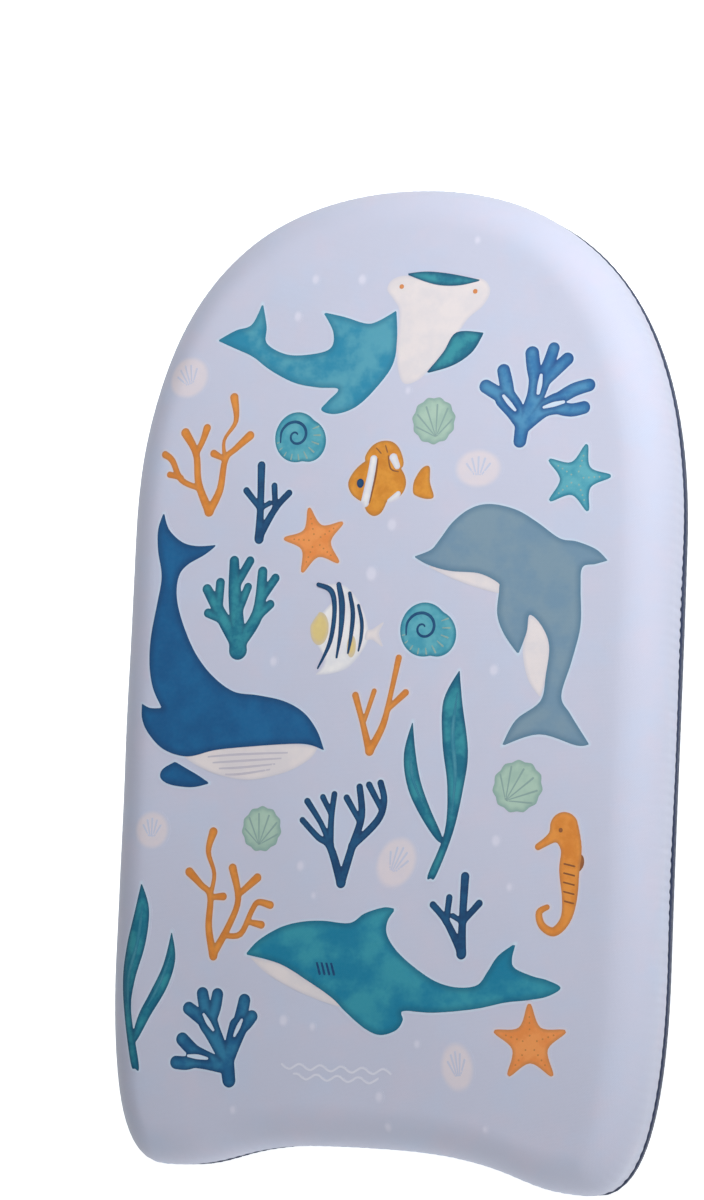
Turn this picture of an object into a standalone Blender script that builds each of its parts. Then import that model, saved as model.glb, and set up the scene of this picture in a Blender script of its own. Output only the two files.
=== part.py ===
"""A child's fabric-covered kickboard.

The board lies flat with its deck up: +Z is up, +Y points at the rounded nose and the
width runs along X. The origin is on the floor, under the middle of the board.

A bead-foam core fills a sewn skin. A foam sheet softens the deck and the rails, the
printed cover wraps both, and the underside meets the cover in a piped and stitched seam
near the foot of the rail. Every layer is a loft of one outline, drawn at several insets,
so each layer nests in the next one at an even distance, round the tail's lobes too.
"""
import math

import bmesh
import bpy
from mathutils import Vector
from mathutils.geometry import interpolate_bezier

# Overall size, in metres
BOARD_LENGTH = 0.450
BOARD_WIDTH = 0.262
BOARD_THICKNESS = 0.042

# The outline's knots
NOSE_LENGTH = 0.163  # from the tip back to the widest line
CORNER_LENGTH = 0.100  # from the end of the straight sides to the end of the tail
TAIL_TAPER = 0.001  # how far each side has closed in where its tail corner begins
CORNER_WIDTH = 0.029  # from there across to the lowest point of the tail lobe
NOTCH_DEPTH = 0.014

# How full each curve between two knots is: its handles' share of the span they cross.
# 0.55 would be a quarter ellipse, and more is squarer.
NOSE_FULLNESS = 0.67
SHOULDER_FULLNESS = 0.64
SIDE_FULLNESS = 0.40
CORNER_SIDE_FULLNESS = 0.38
CORNER_TAIL_FULLNESS = 0.90
LOBE_FULLNESS = 0.36
NOTCH_FULLNESS = 0.74

# The rail, from the flat of the deck round to the widest line
RAIL_ROUND_WIDTH = 0.020
RAIL_ROUND_HEIGHT = 0.022

# The layers
COVER_THICKNESS = 0.0010
PADDING_THICKNESS = 0.0030
BASE_THICKNESS = 0.0015
BASE_CORNER_RADIUS = 0.0030
CORE_EDGE_RADIUS = 0.0015

# The seam at the foot of the rail
PIPING_RADIUS = 0.0015
PIPING_HEIGHT = 0.0065  # of its centre line, above the floor
PIPING_INSET = 0.0010  # of its centre line, in from the board's outline
STITCH_PITCH = 0.0046
STITCH_THICKNESS = 0.0008
STITCH_WAIST = 0.5  # the thread's thickness where it dives in, as a share of the above
STITCH_INSET = 0.0006

CLEARANCE = 0.0003  # between two pieces that touch

# Smoothness: steps along each stretch of the outline and round each edge
NOSE_STEPS = 14
SIDE_STEPS = 3
CORNER_STEPS = 9
NOTCH_STEPS = 8
RAIL_STEPS = 6
EDGE_STEPS = 3
PIPING_SIDES = 8

# Sizes that follow from the ones above
DECK_LAYERS = COVER_THICKNESS + PADDING_THICKNESS + 2 * CLEARANCE
LIP_INSET = DECK_LAYERS - CLEARANCE  # a seam's turned-in edge stops short of the core
BASE_EDGE_HEIGHT = PIPING_HEIGHT - PIPING_RADIUS - CLEARANCE
STITCH_HEIGHT = PIPING_HEIGHT + PIPING_RADIUS + CLEARANCE + STITCH_THICKNESS / 2
COVER_EDGE_HEIGHT = STITCH_HEIGHT + STITCH_THICKNESS / 2 + CLEARANCE

FINISHES = {
    "bead_foam": ((0.90, 0.90, 0.88), 0.85),
    "padding_foam": ((0.80, 0.82, 0.84), 0.80),
    "printed_cover": ((0.52, 0.56, 0.74), 0.65),
    "navy_underside": ((0.035, 0.060, 0.140), 0.55),
    "navy_piping": ((0.040, 0.065, 0.150), 0.60),
    "pale_thread": ((0.62, 0.66, 0.80), 0.50),
}


def clear_scene():
    """Remove every object, so that the model starts from nothing."""
    for thing in list(bpy.data.objects):
        bpy.data.objects.remove(thing, do_unlink=True)


def finish(name):
    """Return the named finish as a Principled material."""
    colour, roughness = FINISHES[name]
    material = bpy.data.materials.new(name)
    material.use_nodes = True
    shader = material.node_tree.nodes["Principled BSDF"]
    shader.inputs["Base Color"].default_value = (*colour, 1.0)
    shader.inputs["Roughness"].default_value = roughness
    shader.inputs["Metallic"].default_value = 0.0
    return material


def add_object(name, bm, material_name, crease_angle=math.radians(35)):
    """Turn a finished bmesh into the named sub-part."""
    bmesh.ops.recalc_face_normals(bm, faces=bm.faces)
    mesh = bpy.data.meshes.new(name)
    bm.to_mesh(mesh)
    bm.free()
    mesh.shade_smooth()
    mesh.set_sharp_from_angle(angle=crease_angle)
    mesh.materials.append(finish(material_name))
    part = bpy.data.objects.new(name, mesh)
    bpy.context.scene.collection.objects.link(part)
    return part


def half_outline(inset):
    """Return the right half of the outline, from the nose to the notch, drawn smaller.

    The inset moves each knot inwards, and the handles keep their share of the spans, so
    the tail corners grow tighter with the inset and never fold over.
    """
    half_length, half_width = BOARD_LENGTH / 2, BOARD_WIDTH / 2
    tail_side = half_width - TAIL_TAPER
    nose = Vector((0, half_length - inset))
    widest = Vector((half_width - inset, half_length - NOSE_LENGTH))
    corner = Vector((tail_side - inset, CORNER_LENGTH - half_length))
    lobe = Vector((tail_side - CORNER_WIDTH, inset - half_length))
    notch = Vector((0, inset - half_length + NOTCH_DEPTH))
    side_span = widest.y - corner.y
    across, along = Vector((1, 0)), Vector((0, 1))
    stretches = (
        (
            nose,
            nose + across * NOSE_FULLNESS * widest.x,
            widest + along * SHOULDER_FULLNESS * (nose.y - widest.y),
            widest,
            NOSE_STEPS,
        ),
        (
            widest,
            widest - along * SIDE_FULLNESS * side_span,
            corner + along * SIDE_FULLNESS * side_span,
            corner,
            SIDE_STEPS,
        ),
        (
            corner,
            corner - along * CORNER_SIDE_FULLNESS * (corner.y - lobe.y),
            lobe + across * CORNER_TAIL_FULLNESS * (corner.x - lobe.x),
            lobe,
            CORNER_STEPS,
        ),
        (
            lobe,
            lobe - across * LOBE_FULLNESS * lobe.x,
            notch + across * NOTCH_FULLNESS * lobe.x,
            notch,
            NOTCH_STEPS,
        ),
    )
    points = [nose]
    for start, leaving, arriving, end, steps in stretches:
        points += interpolate_bezier(start, leaving, arriving, end, steps + 1)[1:]
    return [Vector((point.x, point.y)) for point in points]


def outline(inset):
    """Return the whole closed outline at an inset, clockwise from the nose."""
    right = half_outline(inset)
    left = [Vector((-point.x, point.y)) for point in reversed(right[1:-1])]
    return right + left


def grow_ring(bm, corners, inset, height):
    """Extrude the last ring of a loft to an inset and a height, and return the new ring."""
    edges = [bm.edges.get(pair) for pair in zip(corners, corners[1:] + corners[:1])]
    grown = set(bmesh.ops.extrude_edge_only(bm, edges=edges)["geom"])
    ring = []
    for corner, point in zip(corners, outline(inset)):
        new = next(e.other_vert(corner) for e in corner.link_edges if e.other_vert(corner) in grown)
        new.co = (point.x, point.y, height)
        ring.append(new)
    return ring


def loft(profile, closed=False):
    """Sweep a profile of (inset, height) pairs round the outline into a closed body.

    An open profile runs from one flat face to another, and both are filled. A closed
    profile makes a hoop.
    """
    bm = bmesh.new()
    inset, height = profile[0]
    first = [bm.verts.new((point.x, point.y, height)) for point in outline(inset)]
    for pair in zip(first, first[1:] + first[:1]):
        bm.edges.new(pair)
    if not closed:
        bm.faces.new(first)
    ring = first
    for inset, height in profile[1:] + (profile[:1] if closed else []):
        ring = grow_ring(bm, ring, inset, height)
    if closed:
        bmesh.ops.remove_doubles(bm, verts=first + ring, dist=CLEARANCE / 100)
    else:
        bm.faces.new(ring)
    return bm


def quarter_turn(steps):
    """Return the angles of a quarter turn, both ends included."""
    return [math.pi / 2 * step / steps for step in range(steps + 1)]


def rail_profile(depth, bottom):
    """Return a layer's face at a depth below the board's skin.

    It runs from the flat of the deck, round the rail about one shared centre, to the
    widest line, and straight down the rail to its bottom height.
    """
    centre_height = BOARD_THICKNESS - RAIL_ROUND_HEIGHT
    round_part = [
        (
            RAIL_ROUND_WIDTH - (RAIL_ROUND_WIDTH - depth) * math.sin(angle),
            centre_height + (RAIL_ROUND_HEIGHT - depth) * math.cos(angle),
        )
        for angle in quarter_turn(RAIL_STEPS)
    ]
    return round_part + [(depth, bottom)]


def foot_profile(radius, centre):
    """Return the round of a bottom edge, from the side to the flat underneath."""
    return [
        (centre[0] - radius * math.cos(angle), centre[1] - radius * math.sin(angle))
        for angle in quarter_turn(EDGE_STEPS)
    ]


def make_foam_core():
    """Make the moulded block of bead foam that carries the board."""
    floor = BASE_THICKNESS + CLEARANCE
    edge = foot_profile(
        CORE_EDGE_RADIUS, (DECK_LAYERS + CORE_EDGE_RADIUS, floor + CORE_EDGE_RADIUS)
    )
    profile = rail_profile(DECK_LAYERS, edge[0][1])[:-1] + edge
    return add_object("foam_core", loft(profile), "bead_foam")


def make_deck_padding():
    """Make the foam sheet that lies on the core and wraps its rails."""
    bottom = COVER_EDGE_HEIGHT + COVER_THICKNESS + CLEARANCE
    outer = rail_profile(COVER_THICKNESS + CLEARANCE, bottom)
    inner = rail_profile(DECK_LAYERS - CLEARANCE, bottom)
    return add_object("deck_padding", loft(outer + inner[::-1]), "padding_foam")


def make_deck_cover():
    """Make the printed cover, with its lower edge turned in at the seam."""
    lip_top = COVER_EDGE_HEIGHT + COVER_THICKNESS
    outer = rail_profile(0, COVER_EDGE_HEIGHT)
    lip = [(LIP_INSET, COVER_EDGE_HEIGHT), (LIP_INSET, lip_top)]
    inner = rail_profile(COVER_THICKNESS, lip_top)
    return add_object("deck_cover", loft(outer + lip + inner[::-1]), "printed_cover")


def make_base_cover():
    """Make the underside: a tray whose low wall turns in at the seam."""
    centre = (BASE_CORNER_RADIUS, BASE_CORNER_RADIUS)
    outer = foot_profile(BASE_CORNER_RADIUS, centre)
    inner = foot_profile(BASE_CORNER_RADIUS - BASE_THICKNESS, centre)
    lip = [
        (BASE_THICKNESS, BASE_EDGE_HEIGHT - BASE_THICKNESS),
        (LIP_INSET, BASE_EDGE_HEIGHT - BASE_THICKNESS),
        (LIP_INSET, BASE_EDGE_HEIGHT),
        (0, BASE_EDGE_HEIGHT),
    ]
    return add_object("base_cover", loft(inner[::-1] + lip + outer), "navy_underside")


def make_seam_piping():
    """Make the rolled piping between the cover's edge and the underside's edge."""
    turns = [2 * math.pi * side / PIPING_SIDES for side in range(PIPING_SIDES)]
    profile = [
        (
            PIPING_INSET + PIPING_RADIUS * math.cos(turn),
            PIPING_HEIGHT + PIPING_RADIUS * math.sin(turn),
        )
        for turn in turns
    ]
    return add_object("seam_piping", loft(profile, closed=True), "navy_piping")


def even_points(path, count):
    """Return a number of points at an even pitch along a closed path."""
    runs = list(zip(path, path[1:] + path[:1]))
    pitch = sum((end - start).length for start, end in runs) / count
    points, travelled = [], 0.0
    for start, end in runs:
        length = (end - start).length
        while len(points) < count and len(points) * pitch < travelled + length:
            points.append(start.lerp(end, (len(points) * pitch - travelled) / length))
        travelled += length
    return points


def make_seam_stitching():
    """Make the thread in the ditch between the cover's edge and the piping.

    It is one thread all the way round: full in the middle of each stitch, and drawn thin
    where it dives into the cloth.
    """
    path = outline(STITCH_INSET)
    length = sum((end - start).length for start, end in zip(path, path[1:] + path[:1]))
    points = even_points(path, 2 * round(length / STITCH_PITCH))
    curve = bpy.data.curves.new("seam_stitching", "CURVE")
    curve.dimensions = "3D"
    curve.fill_mode = "FULL"
    curve.bevel_depth = STITCH_THICKNESS / 2
    curve.bevel_resolution = 0
    thread = curve.splines.new("POLY")
    thread.use_cyclic_u = True
    thread.points.add(len(points) - 1)
    for number, (place, point) in enumerate(zip(thread.points, points)):
        place.co = (point.x, point.y, STITCH_HEIGHT, 1)
        place.radius = 1.0 if number % 2 else STITCH_WAIST
    curve.materials.append(finish("pale_thread"))
    part = bpy.data.objects.new("seam_stitching", curve)
    bpy.context.scene.collection.objects.link(part)
    return part


def main():
    """Build the board from its core outwards."""
    clear_scene()
    make_foam_core()
    make_deck_padding()
    make_deck_cover()
    make_base_cover()
    make_seam_piping()
    make_seam_stitching()


main()
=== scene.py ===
"""Looks of a child's fabric-covered kickboard.

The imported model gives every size. Over it come the printed cover with its puckered seam,
the navy underside, the rolled piping, the single stitches and the printed sea life, each
as its own mesh. The board lies flat: +Z is up and +Y points at the rounded nose.
"""
import logging
import math
from abc import ABC, abstractmethod
from dataclasses import dataclass
from enum import Enum

import bmesh
import bpy
import numpy as np
from mathutils import Matrix, Vector
from mathutils.bvhtree import BVHTree


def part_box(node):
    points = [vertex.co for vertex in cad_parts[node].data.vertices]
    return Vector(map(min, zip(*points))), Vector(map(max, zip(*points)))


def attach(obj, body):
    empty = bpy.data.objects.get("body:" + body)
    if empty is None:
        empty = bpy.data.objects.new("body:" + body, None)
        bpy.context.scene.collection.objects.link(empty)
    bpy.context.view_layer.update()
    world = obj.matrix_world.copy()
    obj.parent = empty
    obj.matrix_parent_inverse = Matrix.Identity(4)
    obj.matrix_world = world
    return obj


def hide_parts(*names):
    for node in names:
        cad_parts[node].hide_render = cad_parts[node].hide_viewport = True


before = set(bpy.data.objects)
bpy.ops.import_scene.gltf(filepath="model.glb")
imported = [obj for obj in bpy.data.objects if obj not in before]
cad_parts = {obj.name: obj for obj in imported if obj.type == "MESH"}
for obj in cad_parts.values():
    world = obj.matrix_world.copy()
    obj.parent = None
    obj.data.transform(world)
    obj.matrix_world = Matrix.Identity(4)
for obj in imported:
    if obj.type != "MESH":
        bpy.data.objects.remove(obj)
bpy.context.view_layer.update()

LOG = logging.getLogger("kickboard")
BODY = "root"
MM = 0.001
Colour = tuple[float, float, float]
Point = tuple[float, float]


# ---------------------------------------------------------------- node helpers


class Group:
    """A shader node group under construction, with named inputs and outputs."""

    def __init__(self, name: str, inputs: dict[str, str], outputs: dict[str, str]) -> None:
        """Make the group and its sockets.

        Args:
            name: the group's name.
            inputs: socket names and their types, such as NodeSocketFloat.
            outputs: the same for the outputs.
        """
        self.tree = bpy.data.node_groups.new(name, "ShaderNodeTree")
        for names, way in ((inputs, "INPUT"), (outputs, "OUTPUT")):
            for socket, kind in names.items():
                self.tree.interface.new_socket(name=socket, in_out=way, socket_type=kind)
        self.nodes = Nodes(self.tree)
        self.into = self.tree.nodes.new("NodeGroupInput").outputs
        self.out = self.tree.nodes.new("NodeGroupOutput").inputs


class Nodes:
    """Adds and joins the nodes of one tree."""

    def __init__(self, tree: bpy.types.NodeTree) -> None:
        """Hold the tree that the nodes go into."""
        self.tree = tree

    def join(self, source: bpy.types.NodeSocket, target: bpy.types.NodeSocket) -> None:
        """Link an output to an input."""
        self.tree.links.new(source, target)

    def set(self, socket: bpy.types.NodeSocket, value: object) -> None:
        """Link a socket into another one, or set that one's own value.

        Args:
            socket: the socket that takes the value.
            value: a socket, a colour or a number.
        """
        if isinstance(value, bpy.types.NodeSocket):
            self.join(value, socket)
        elif isinstance(value, tuple) and socket.type == "RGBA":
            socket.default_value = (*value, 1.0)
        else:
            socket.default_value = value

    def math(self, what: str, *values: object, clamp: bool = False) -> bpy.types.NodeSocket:
        """Return the result of a Math node.

        Args:
            what: the node's operation.
            *values: sockets or numbers, in order.
            clamp: whether the result is kept in 0 to 1.

        Returns:
            The result.
        """
        node = self.tree.nodes.new("ShaderNodeMath")
        node.operation = what
        node.use_clamp = clamp
        for socket, value in zip(node.inputs, values):
            self.set(socket, value)
        return node.outputs[0]

    def scaled(self, vector: bpy.types.NodeSocket, scale: object) -> bpy.types.NodeSocket:
        """Return a vector times a number.

        Args:
            vector: the vector.
            scale: a socket or a number.

        Returns:
            The longer or shorter vector.
        """
        node = self.tree.nodes.new("ShaderNodeVectorMath")
        node.operation = "SCALE"
        self.set(node.inputs["Vector"], vector)
        self.set(node.inputs["Scale"], scale)
        return node.outputs["Vector"]

    def split(self, vector: bpy.types.NodeSocket) -> list[bpy.types.NodeSocket]:
        """Return a vector's three parts.

        Args:
            vector: the vector.

        Returns:
            Its X, Y and Z.
        """
        node = self.tree.nodes.new("ShaderNodeSeparateXYZ")
        self.join(vector, node.inputs[0])
        return list(node.outputs)

    def noise(
        self, vector: object, scale: object, detail: float = 2.0, rough: float = 0.5
    ) -> bpy.types.NodeSocket:
        """Return a Noise Texture's value, 0 to 1.

        Args:
            vector: where the noise is read.
            scale: how fine it is.
            detail: how many finer octaves it has.
            rough: how strong those are.

        Returns:
            The noise's value.
        """
        node = self.tree.nodes.new("ShaderNodeTexNoise")
        self.set(node.inputs["Vector"], vector)
        self.set(node.inputs["Scale"], scale)
        self.set(node.inputs["Detail"], detail)
        self.set(node.inputs["Roughness"], rough)
        return node.outputs[0]

    def ramp(
        self, value: bpy.types.NodeSocket, low: object, high: object, to: Point = (0.0, 1.0)
    ) -> bpy.types.NodeSocket:
        """Return a smooth step of a value between two limits.

        Args:
            value: the value.
            low: the limit at which the step starts.
            high: the limit at which it ends.
            to: what it goes from and to.

        Returns:
            The stepped value.
        """
        node = self.tree.nodes.new("ShaderNodeMapRange")
        node.interpolation_type = "SMOOTHSTEP"
        for name, number in zip(
            ("Value", "From Min", "From Max", "To Min", "To Max"), (value, low, high, *to)
        ):
            self.set(node.inputs[name], number)
        return node.outputs[0]

    def mix(self, share: object, first: object, second: object) -> bpy.types.NodeSocket:
        """Return a mix of two colours.

        Args:
            share: the second colour's share.
            first: a socket or a colour.
            second: the same.

        Returns:
            The mixed colour.
        """
        node = self.tree.nodes.new("ShaderNodeMix")
        node.data_type = "RGBA"
        self.set(node.inputs[0], share)
        self.set(node.inputs[6], first)
        self.set(node.inputs[7], second)
        return node.outputs[2]

    def attribute(self, name: str) -> bpy.types.Node:
        """Return a node that reads a mesh attribute.

        Args:
            name: the attribute's name.

        Returns:
            The node.
        """
        node = self.tree.nodes.new("ShaderNodeAttribute")
        node.attribute_name = name
        return node

    def place(self) -> bpy.types.NodeSocket:
        """Return the object coordinates, in metres."""
        return self.tree.nodes.new("ShaderNodeTexCoord").outputs["Object"]

    def group(self, tree: bpy.types.NodeTree, **values: object) -> bpy.types.NodeOutputs:
        """Add a group with its inputs set, and return its outputs.

        Args:
            tree: the shared group.
            **values: its inputs by name, with _ for a space.

        Returns:
            The group's outputs.
        """
        node = self.tree.nodes.new("ShaderNodeGroup")
        node.node_tree = tree
        for name, value in values.items():
            self.set(node.inputs[name.replace("_", " ")], value)
        return node.outputs

    def bump(
        self, height: bpy.types.NodeSocket, strength: float, distance: float
    ) -> bpy.types.NodeSocket:
        """Return the normal of a bump.

        Args:
            height: the height.
            strength: how strong the bump is.
            distance: what a height of 1 stands for, in metres.

        Returns:
            The bent normal.
        """
        node = self.tree.nodes.new("ShaderNodeBump")
        node.inputs["Strength"].default_value = strength
        node.inputs["Distance"].default_value = distance
        self.join(height, node.inputs["Height"])
        return node.outputs["Normal"]


FLOAT, COLOUR, VECTOR = "NodeSocketFloat", "NodeSocketColor", "NodeSocketVector"


class Effects:
    """The node groups that several finishes share, each built once."""

    _built: dict[str, bpy.types.NodeTree] = {}

    @classmethod
    def get(cls, name: str) -> bpy.types.NodeTree:
        """Return a shared group by name, building it the first time.

        Args:
            name: the name of one of the builders below.

        Returns:
            The group.
        """
        if name not in cls._built:
            cls._built[name] = getattr(cls, name)()
        return cls._built[name]

    @staticmethod
    def plain_weave() -> bpy.types.NodeTree:
        """Build the weave: threads that pass over and under each other at a pitch.

        Returns:
            The group, with the threads' height and uneven shade.
        """
        group = Group(
            "plain_weave",
            {"Cloth": VECTOR, "Pitch": FLOAT},
            {"Height": FLOAT, "Shade": FLOAT},
        )
        nodes = group.nodes
        cells = nodes.scaled(group.into["Cloth"], nodes.math("DIVIDE", 1.0, group.into["Pitch"]))
        checker = nodes.tree.nodes.new("ShaderNodeTexChecker")
        checker.inputs["Scale"].default_value = 1.0
        nodes.join(cells, checker.inputs["Vector"])
        across, along, _ = nodes.split(cells)
        warp, weft = (
            nodes.math("ABSOLUTE", nodes.math("SINE", nodes.math("MULTIPLY", part, math.pi)))
            for part in (across, along)
        )
        over = checker.outputs["Fac"]
        threads = nodes.math(
            "ADD",
            nodes.math("MULTIPLY", warp, over),
            nodes.math("MULTIPLY", weft, nodes.math("SUBTRACT", 1.0, over)),
        )
        slub = nodes.noise(cells, 0.35, 3.0, 0.6)
        nodes.join(nodes.math("ADD", threads, nodes.math("MULTIPLY", slub, 0.6)), group.out["Height"])
        nodes.join(nodes.ramp(slub, 0.3, 0.7), group.out["Shade"])
        return group.tree

    @staticmethod
    def ground_wash() -> bpy.types.NodeTree:
        """Build the cover's ground: lilac-blue with faint pink and blue clouds.

        Returns:
            The group, with the ground's colour.
        """
        group = Group(
            "ground_wash",
            {"Cloth": VECTOR, "Ground": COLOUR, "Pink": COLOUR, "Blue": COLOUR},
            {"Color": COLOUR},
        )
        nodes = group.nodes
        cloth = group.into["Cloth"]
        pink = nodes.ramp(nodes.noise(cloth, 42.0, 3.0, 0.55), 0.46, 0.74)
        shifted = nodes.tree.nodes.new("ShaderNodeVectorMath")
        shifted.inputs[1].default_value = (0.37, 0.11, 0.0)
        nodes.join(cloth, shifted.inputs[0])
        blue = nodes.ramp(nodes.noise(shifted.outputs[0], 36.0, 3.0, 0.55), 0.46, 0.74)
        rosy = nodes.mix(nodes.math("MULTIPLY", pink, 0.75), group.into["Ground"], group.into["Pink"])
        nodes.join(
            nodes.mix(nodes.math("MULTIPLY", blue, 0.75), rosy, group.into["Blue"]),
            group.out["Color"],
        )
        return group.tree

    @staticmethod
    def painted() -> bpy.types.NodeTree:
        """Build the print's watercolour: a wash that pools darker along its edge.

        Returns:
            The group, with the ink's colour.
        """
        group = Group(
            "painted",
            {
                "Cloth": VECTOR,
                "Rim": FLOAT,
                "Rim Width": FLOAT,
                "Bloom": FLOAT,
                "Pale": COLOUR,
                "Deep": COLOUR,
                "Line": COLOUR,
            },
            {"Color": COLOUR},
        )
        nodes = group.nodes
        cloth, into = group.into["Cloth"], group.into
        bloom = nodes.ramp(nodes.noise(cloth, into["Bloom"], 4.0, 0.6), 0.38, 0.62)
        wash = nodes.mix(bloom, into["Pale"], into["Deep"])
        wobble = nodes.math("ADD", into["Rim"], nodes.math("MULTIPLY", nodes.noise(cloth, 900.0), -0.5))
        pool = nodes.ramp(wobble, nodes.math("MULTIPLY", into["Rim Width"], -0.3), into["Rim Width"])
        line = nodes.math("SUBTRACT", 1.0, pool)
        nodes.join(nodes.mix(nodes.math("MULTIPLY", line, 0.85), wash, into["Line"]), group.out["Color"])
        return group.tree


# ---------------------------------------------------------------- finishes


def new_material(name: str) -> tuple[bpy.types.Material, Nodes, bpy.types.NodeInputs]:
    """Make a material with a Principled shader.

    Args:
        name: the material's name.

    Returns:
        The material, its nodes and the shader's inputs.
    """
    material = bpy.data.materials.new(name)
    material.use_nodes = True
    shader = material.node_tree.nodes["Principled BSDF"]
    return material, Nodes(material.node_tree), shader.inputs


GROUND: dict[str, Colour] = {
    "Ground": (0.575, 0.600, 0.745),
    "Pink": (0.615, 0.600, 0.735),
    "Blue": (0.550, 0.610, 0.775),
}


@dataclass(frozen=True)
class Cloth:
    """The feel of a woven cloth: its thread pitch and how it catches the light."""

    pitch: float = 0.00055
    bump: float = 0.25
    depth: float = 0.00012
    roughness: float = 0.62
    sheen: float = 0.25
    sheen_roughness: float = 0.45

    def dress(self, nodes: Nodes, shader: bpy.types.NodeInputs) -> bpy.types.NodeSocket:
        """Give a shader the cloth's bump, roughness and sheen.

        Args:
            nodes: the material's nodes.
            shader: the Principled shader's inputs.

        Returns:
            The cloth's coordinates, in metres along its threads.
        """
        cloth = nodes.attribute("cloth").outputs["Vector"]
        weave = nodes.group(Effects.get("plain_weave"), Cloth=cloth, Pitch=self.pitch)
        rough = nodes.ramp(weave["Shade"], 0.0, 1.0, (self.roughness - 0.06, self.roughness + 0.08))
        nodes.join(rough, shader["Roughness"])
        nodes.join(nodes.bump(weave["Height"], self.bump, self.depth), shader["Normal"])
        shader["Sheen Weight"].default_value = self.sheen
        shader["Sheen Roughness"].default_value = self.sheen_roughness
        shader["Specular IOR Level"].default_value = 0.35
        return cloth


PRINTED_CLOTH = Cloth()


def cover_ground(nodes: Nodes, cloth: bpy.types.NodeSocket) -> bpy.types.NodeSocket:
    """Return the unprinted cover's colour."""
    return nodes.group(Effects.get("ground_wash"), Cloth=cloth, **GROUND)["Color"]


@dataclass(frozen=True)
class CoverFinish:
    """The cover's own cloth, with its clouded ground."""

    def material(self) -> bpy.types.Material:
        """Build the finish.

        Returns:
            The material.
        """
        material, nodes, shader = new_material("printed_cover_ground")
        cloth = PRINTED_CLOTH.dress(nodes, shader)
        nodes.join(cover_ground(nodes, cloth), shader["Base Color"])
        return material


@dataclass(frozen=True)
class PaintedInk:
    """An ink laid on like watercolour: two tones, and a line where it pools."""

    name: str
    pale: Colour
    deep: Colour
    line: Colour
    rim: float = 1.2
    bloom: float = 70.0

    def material(self) -> bpy.types.Material:
        """Build the ink, unless it is there already.

        Returns:
            The material.
        """
        made = bpy.data.materials.get(self.name)
        if made:
            return made
        made, nodes, shader = new_material(self.name)
        cloth = PRINTED_CLOTH.dress(nodes, shader)
        colour = nodes.group(
            Effects.get("painted"),
            Cloth=cloth,
            Rim=nodes.attribute("rim").outputs["Fac"],
            Rim_Width=self.rim,
            Bloom=self.bloom,
            Pale=self.pale,
            Deep=self.deep,
            Line=self.line,
        )["Color"]
        nodes.join(colour, shader["Base Color"])
        return made


@dataclass(frozen=True)
class SoftInk:
    """A thin ink that fades into the cover's ground towards its edge."""

    name: str
    tint: Colour
    fade: float
    strength: float

    def material(self) -> bpy.types.Material:
        """Build the ink, unless it is there already.

        Returns:
            The material.
        """
        made = bpy.data.materials.get(self.name)
        if made:
            return made
        made, nodes, shader = new_material(self.name)
        cloth = PRINTED_CLOTH.dress(nodes, shader)
        inside = nodes.ramp(nodes.attribute("rim").outputs["Fac"], 0.0, self.fade)
        cloud = nodes.ramp(nodes.noise(cloth, 160.0, 3.0), 0.1, 0.9, (0.7, 1.0))
        share = nodes.math("MULTIPLY", nodes.math("MULTIPLY", inside, cloud), self.strength)
        nodes.join(nodes.mix(share, cover_ground(nodes, cloth), self.tint), shader["Base Color"])
        return made


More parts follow.
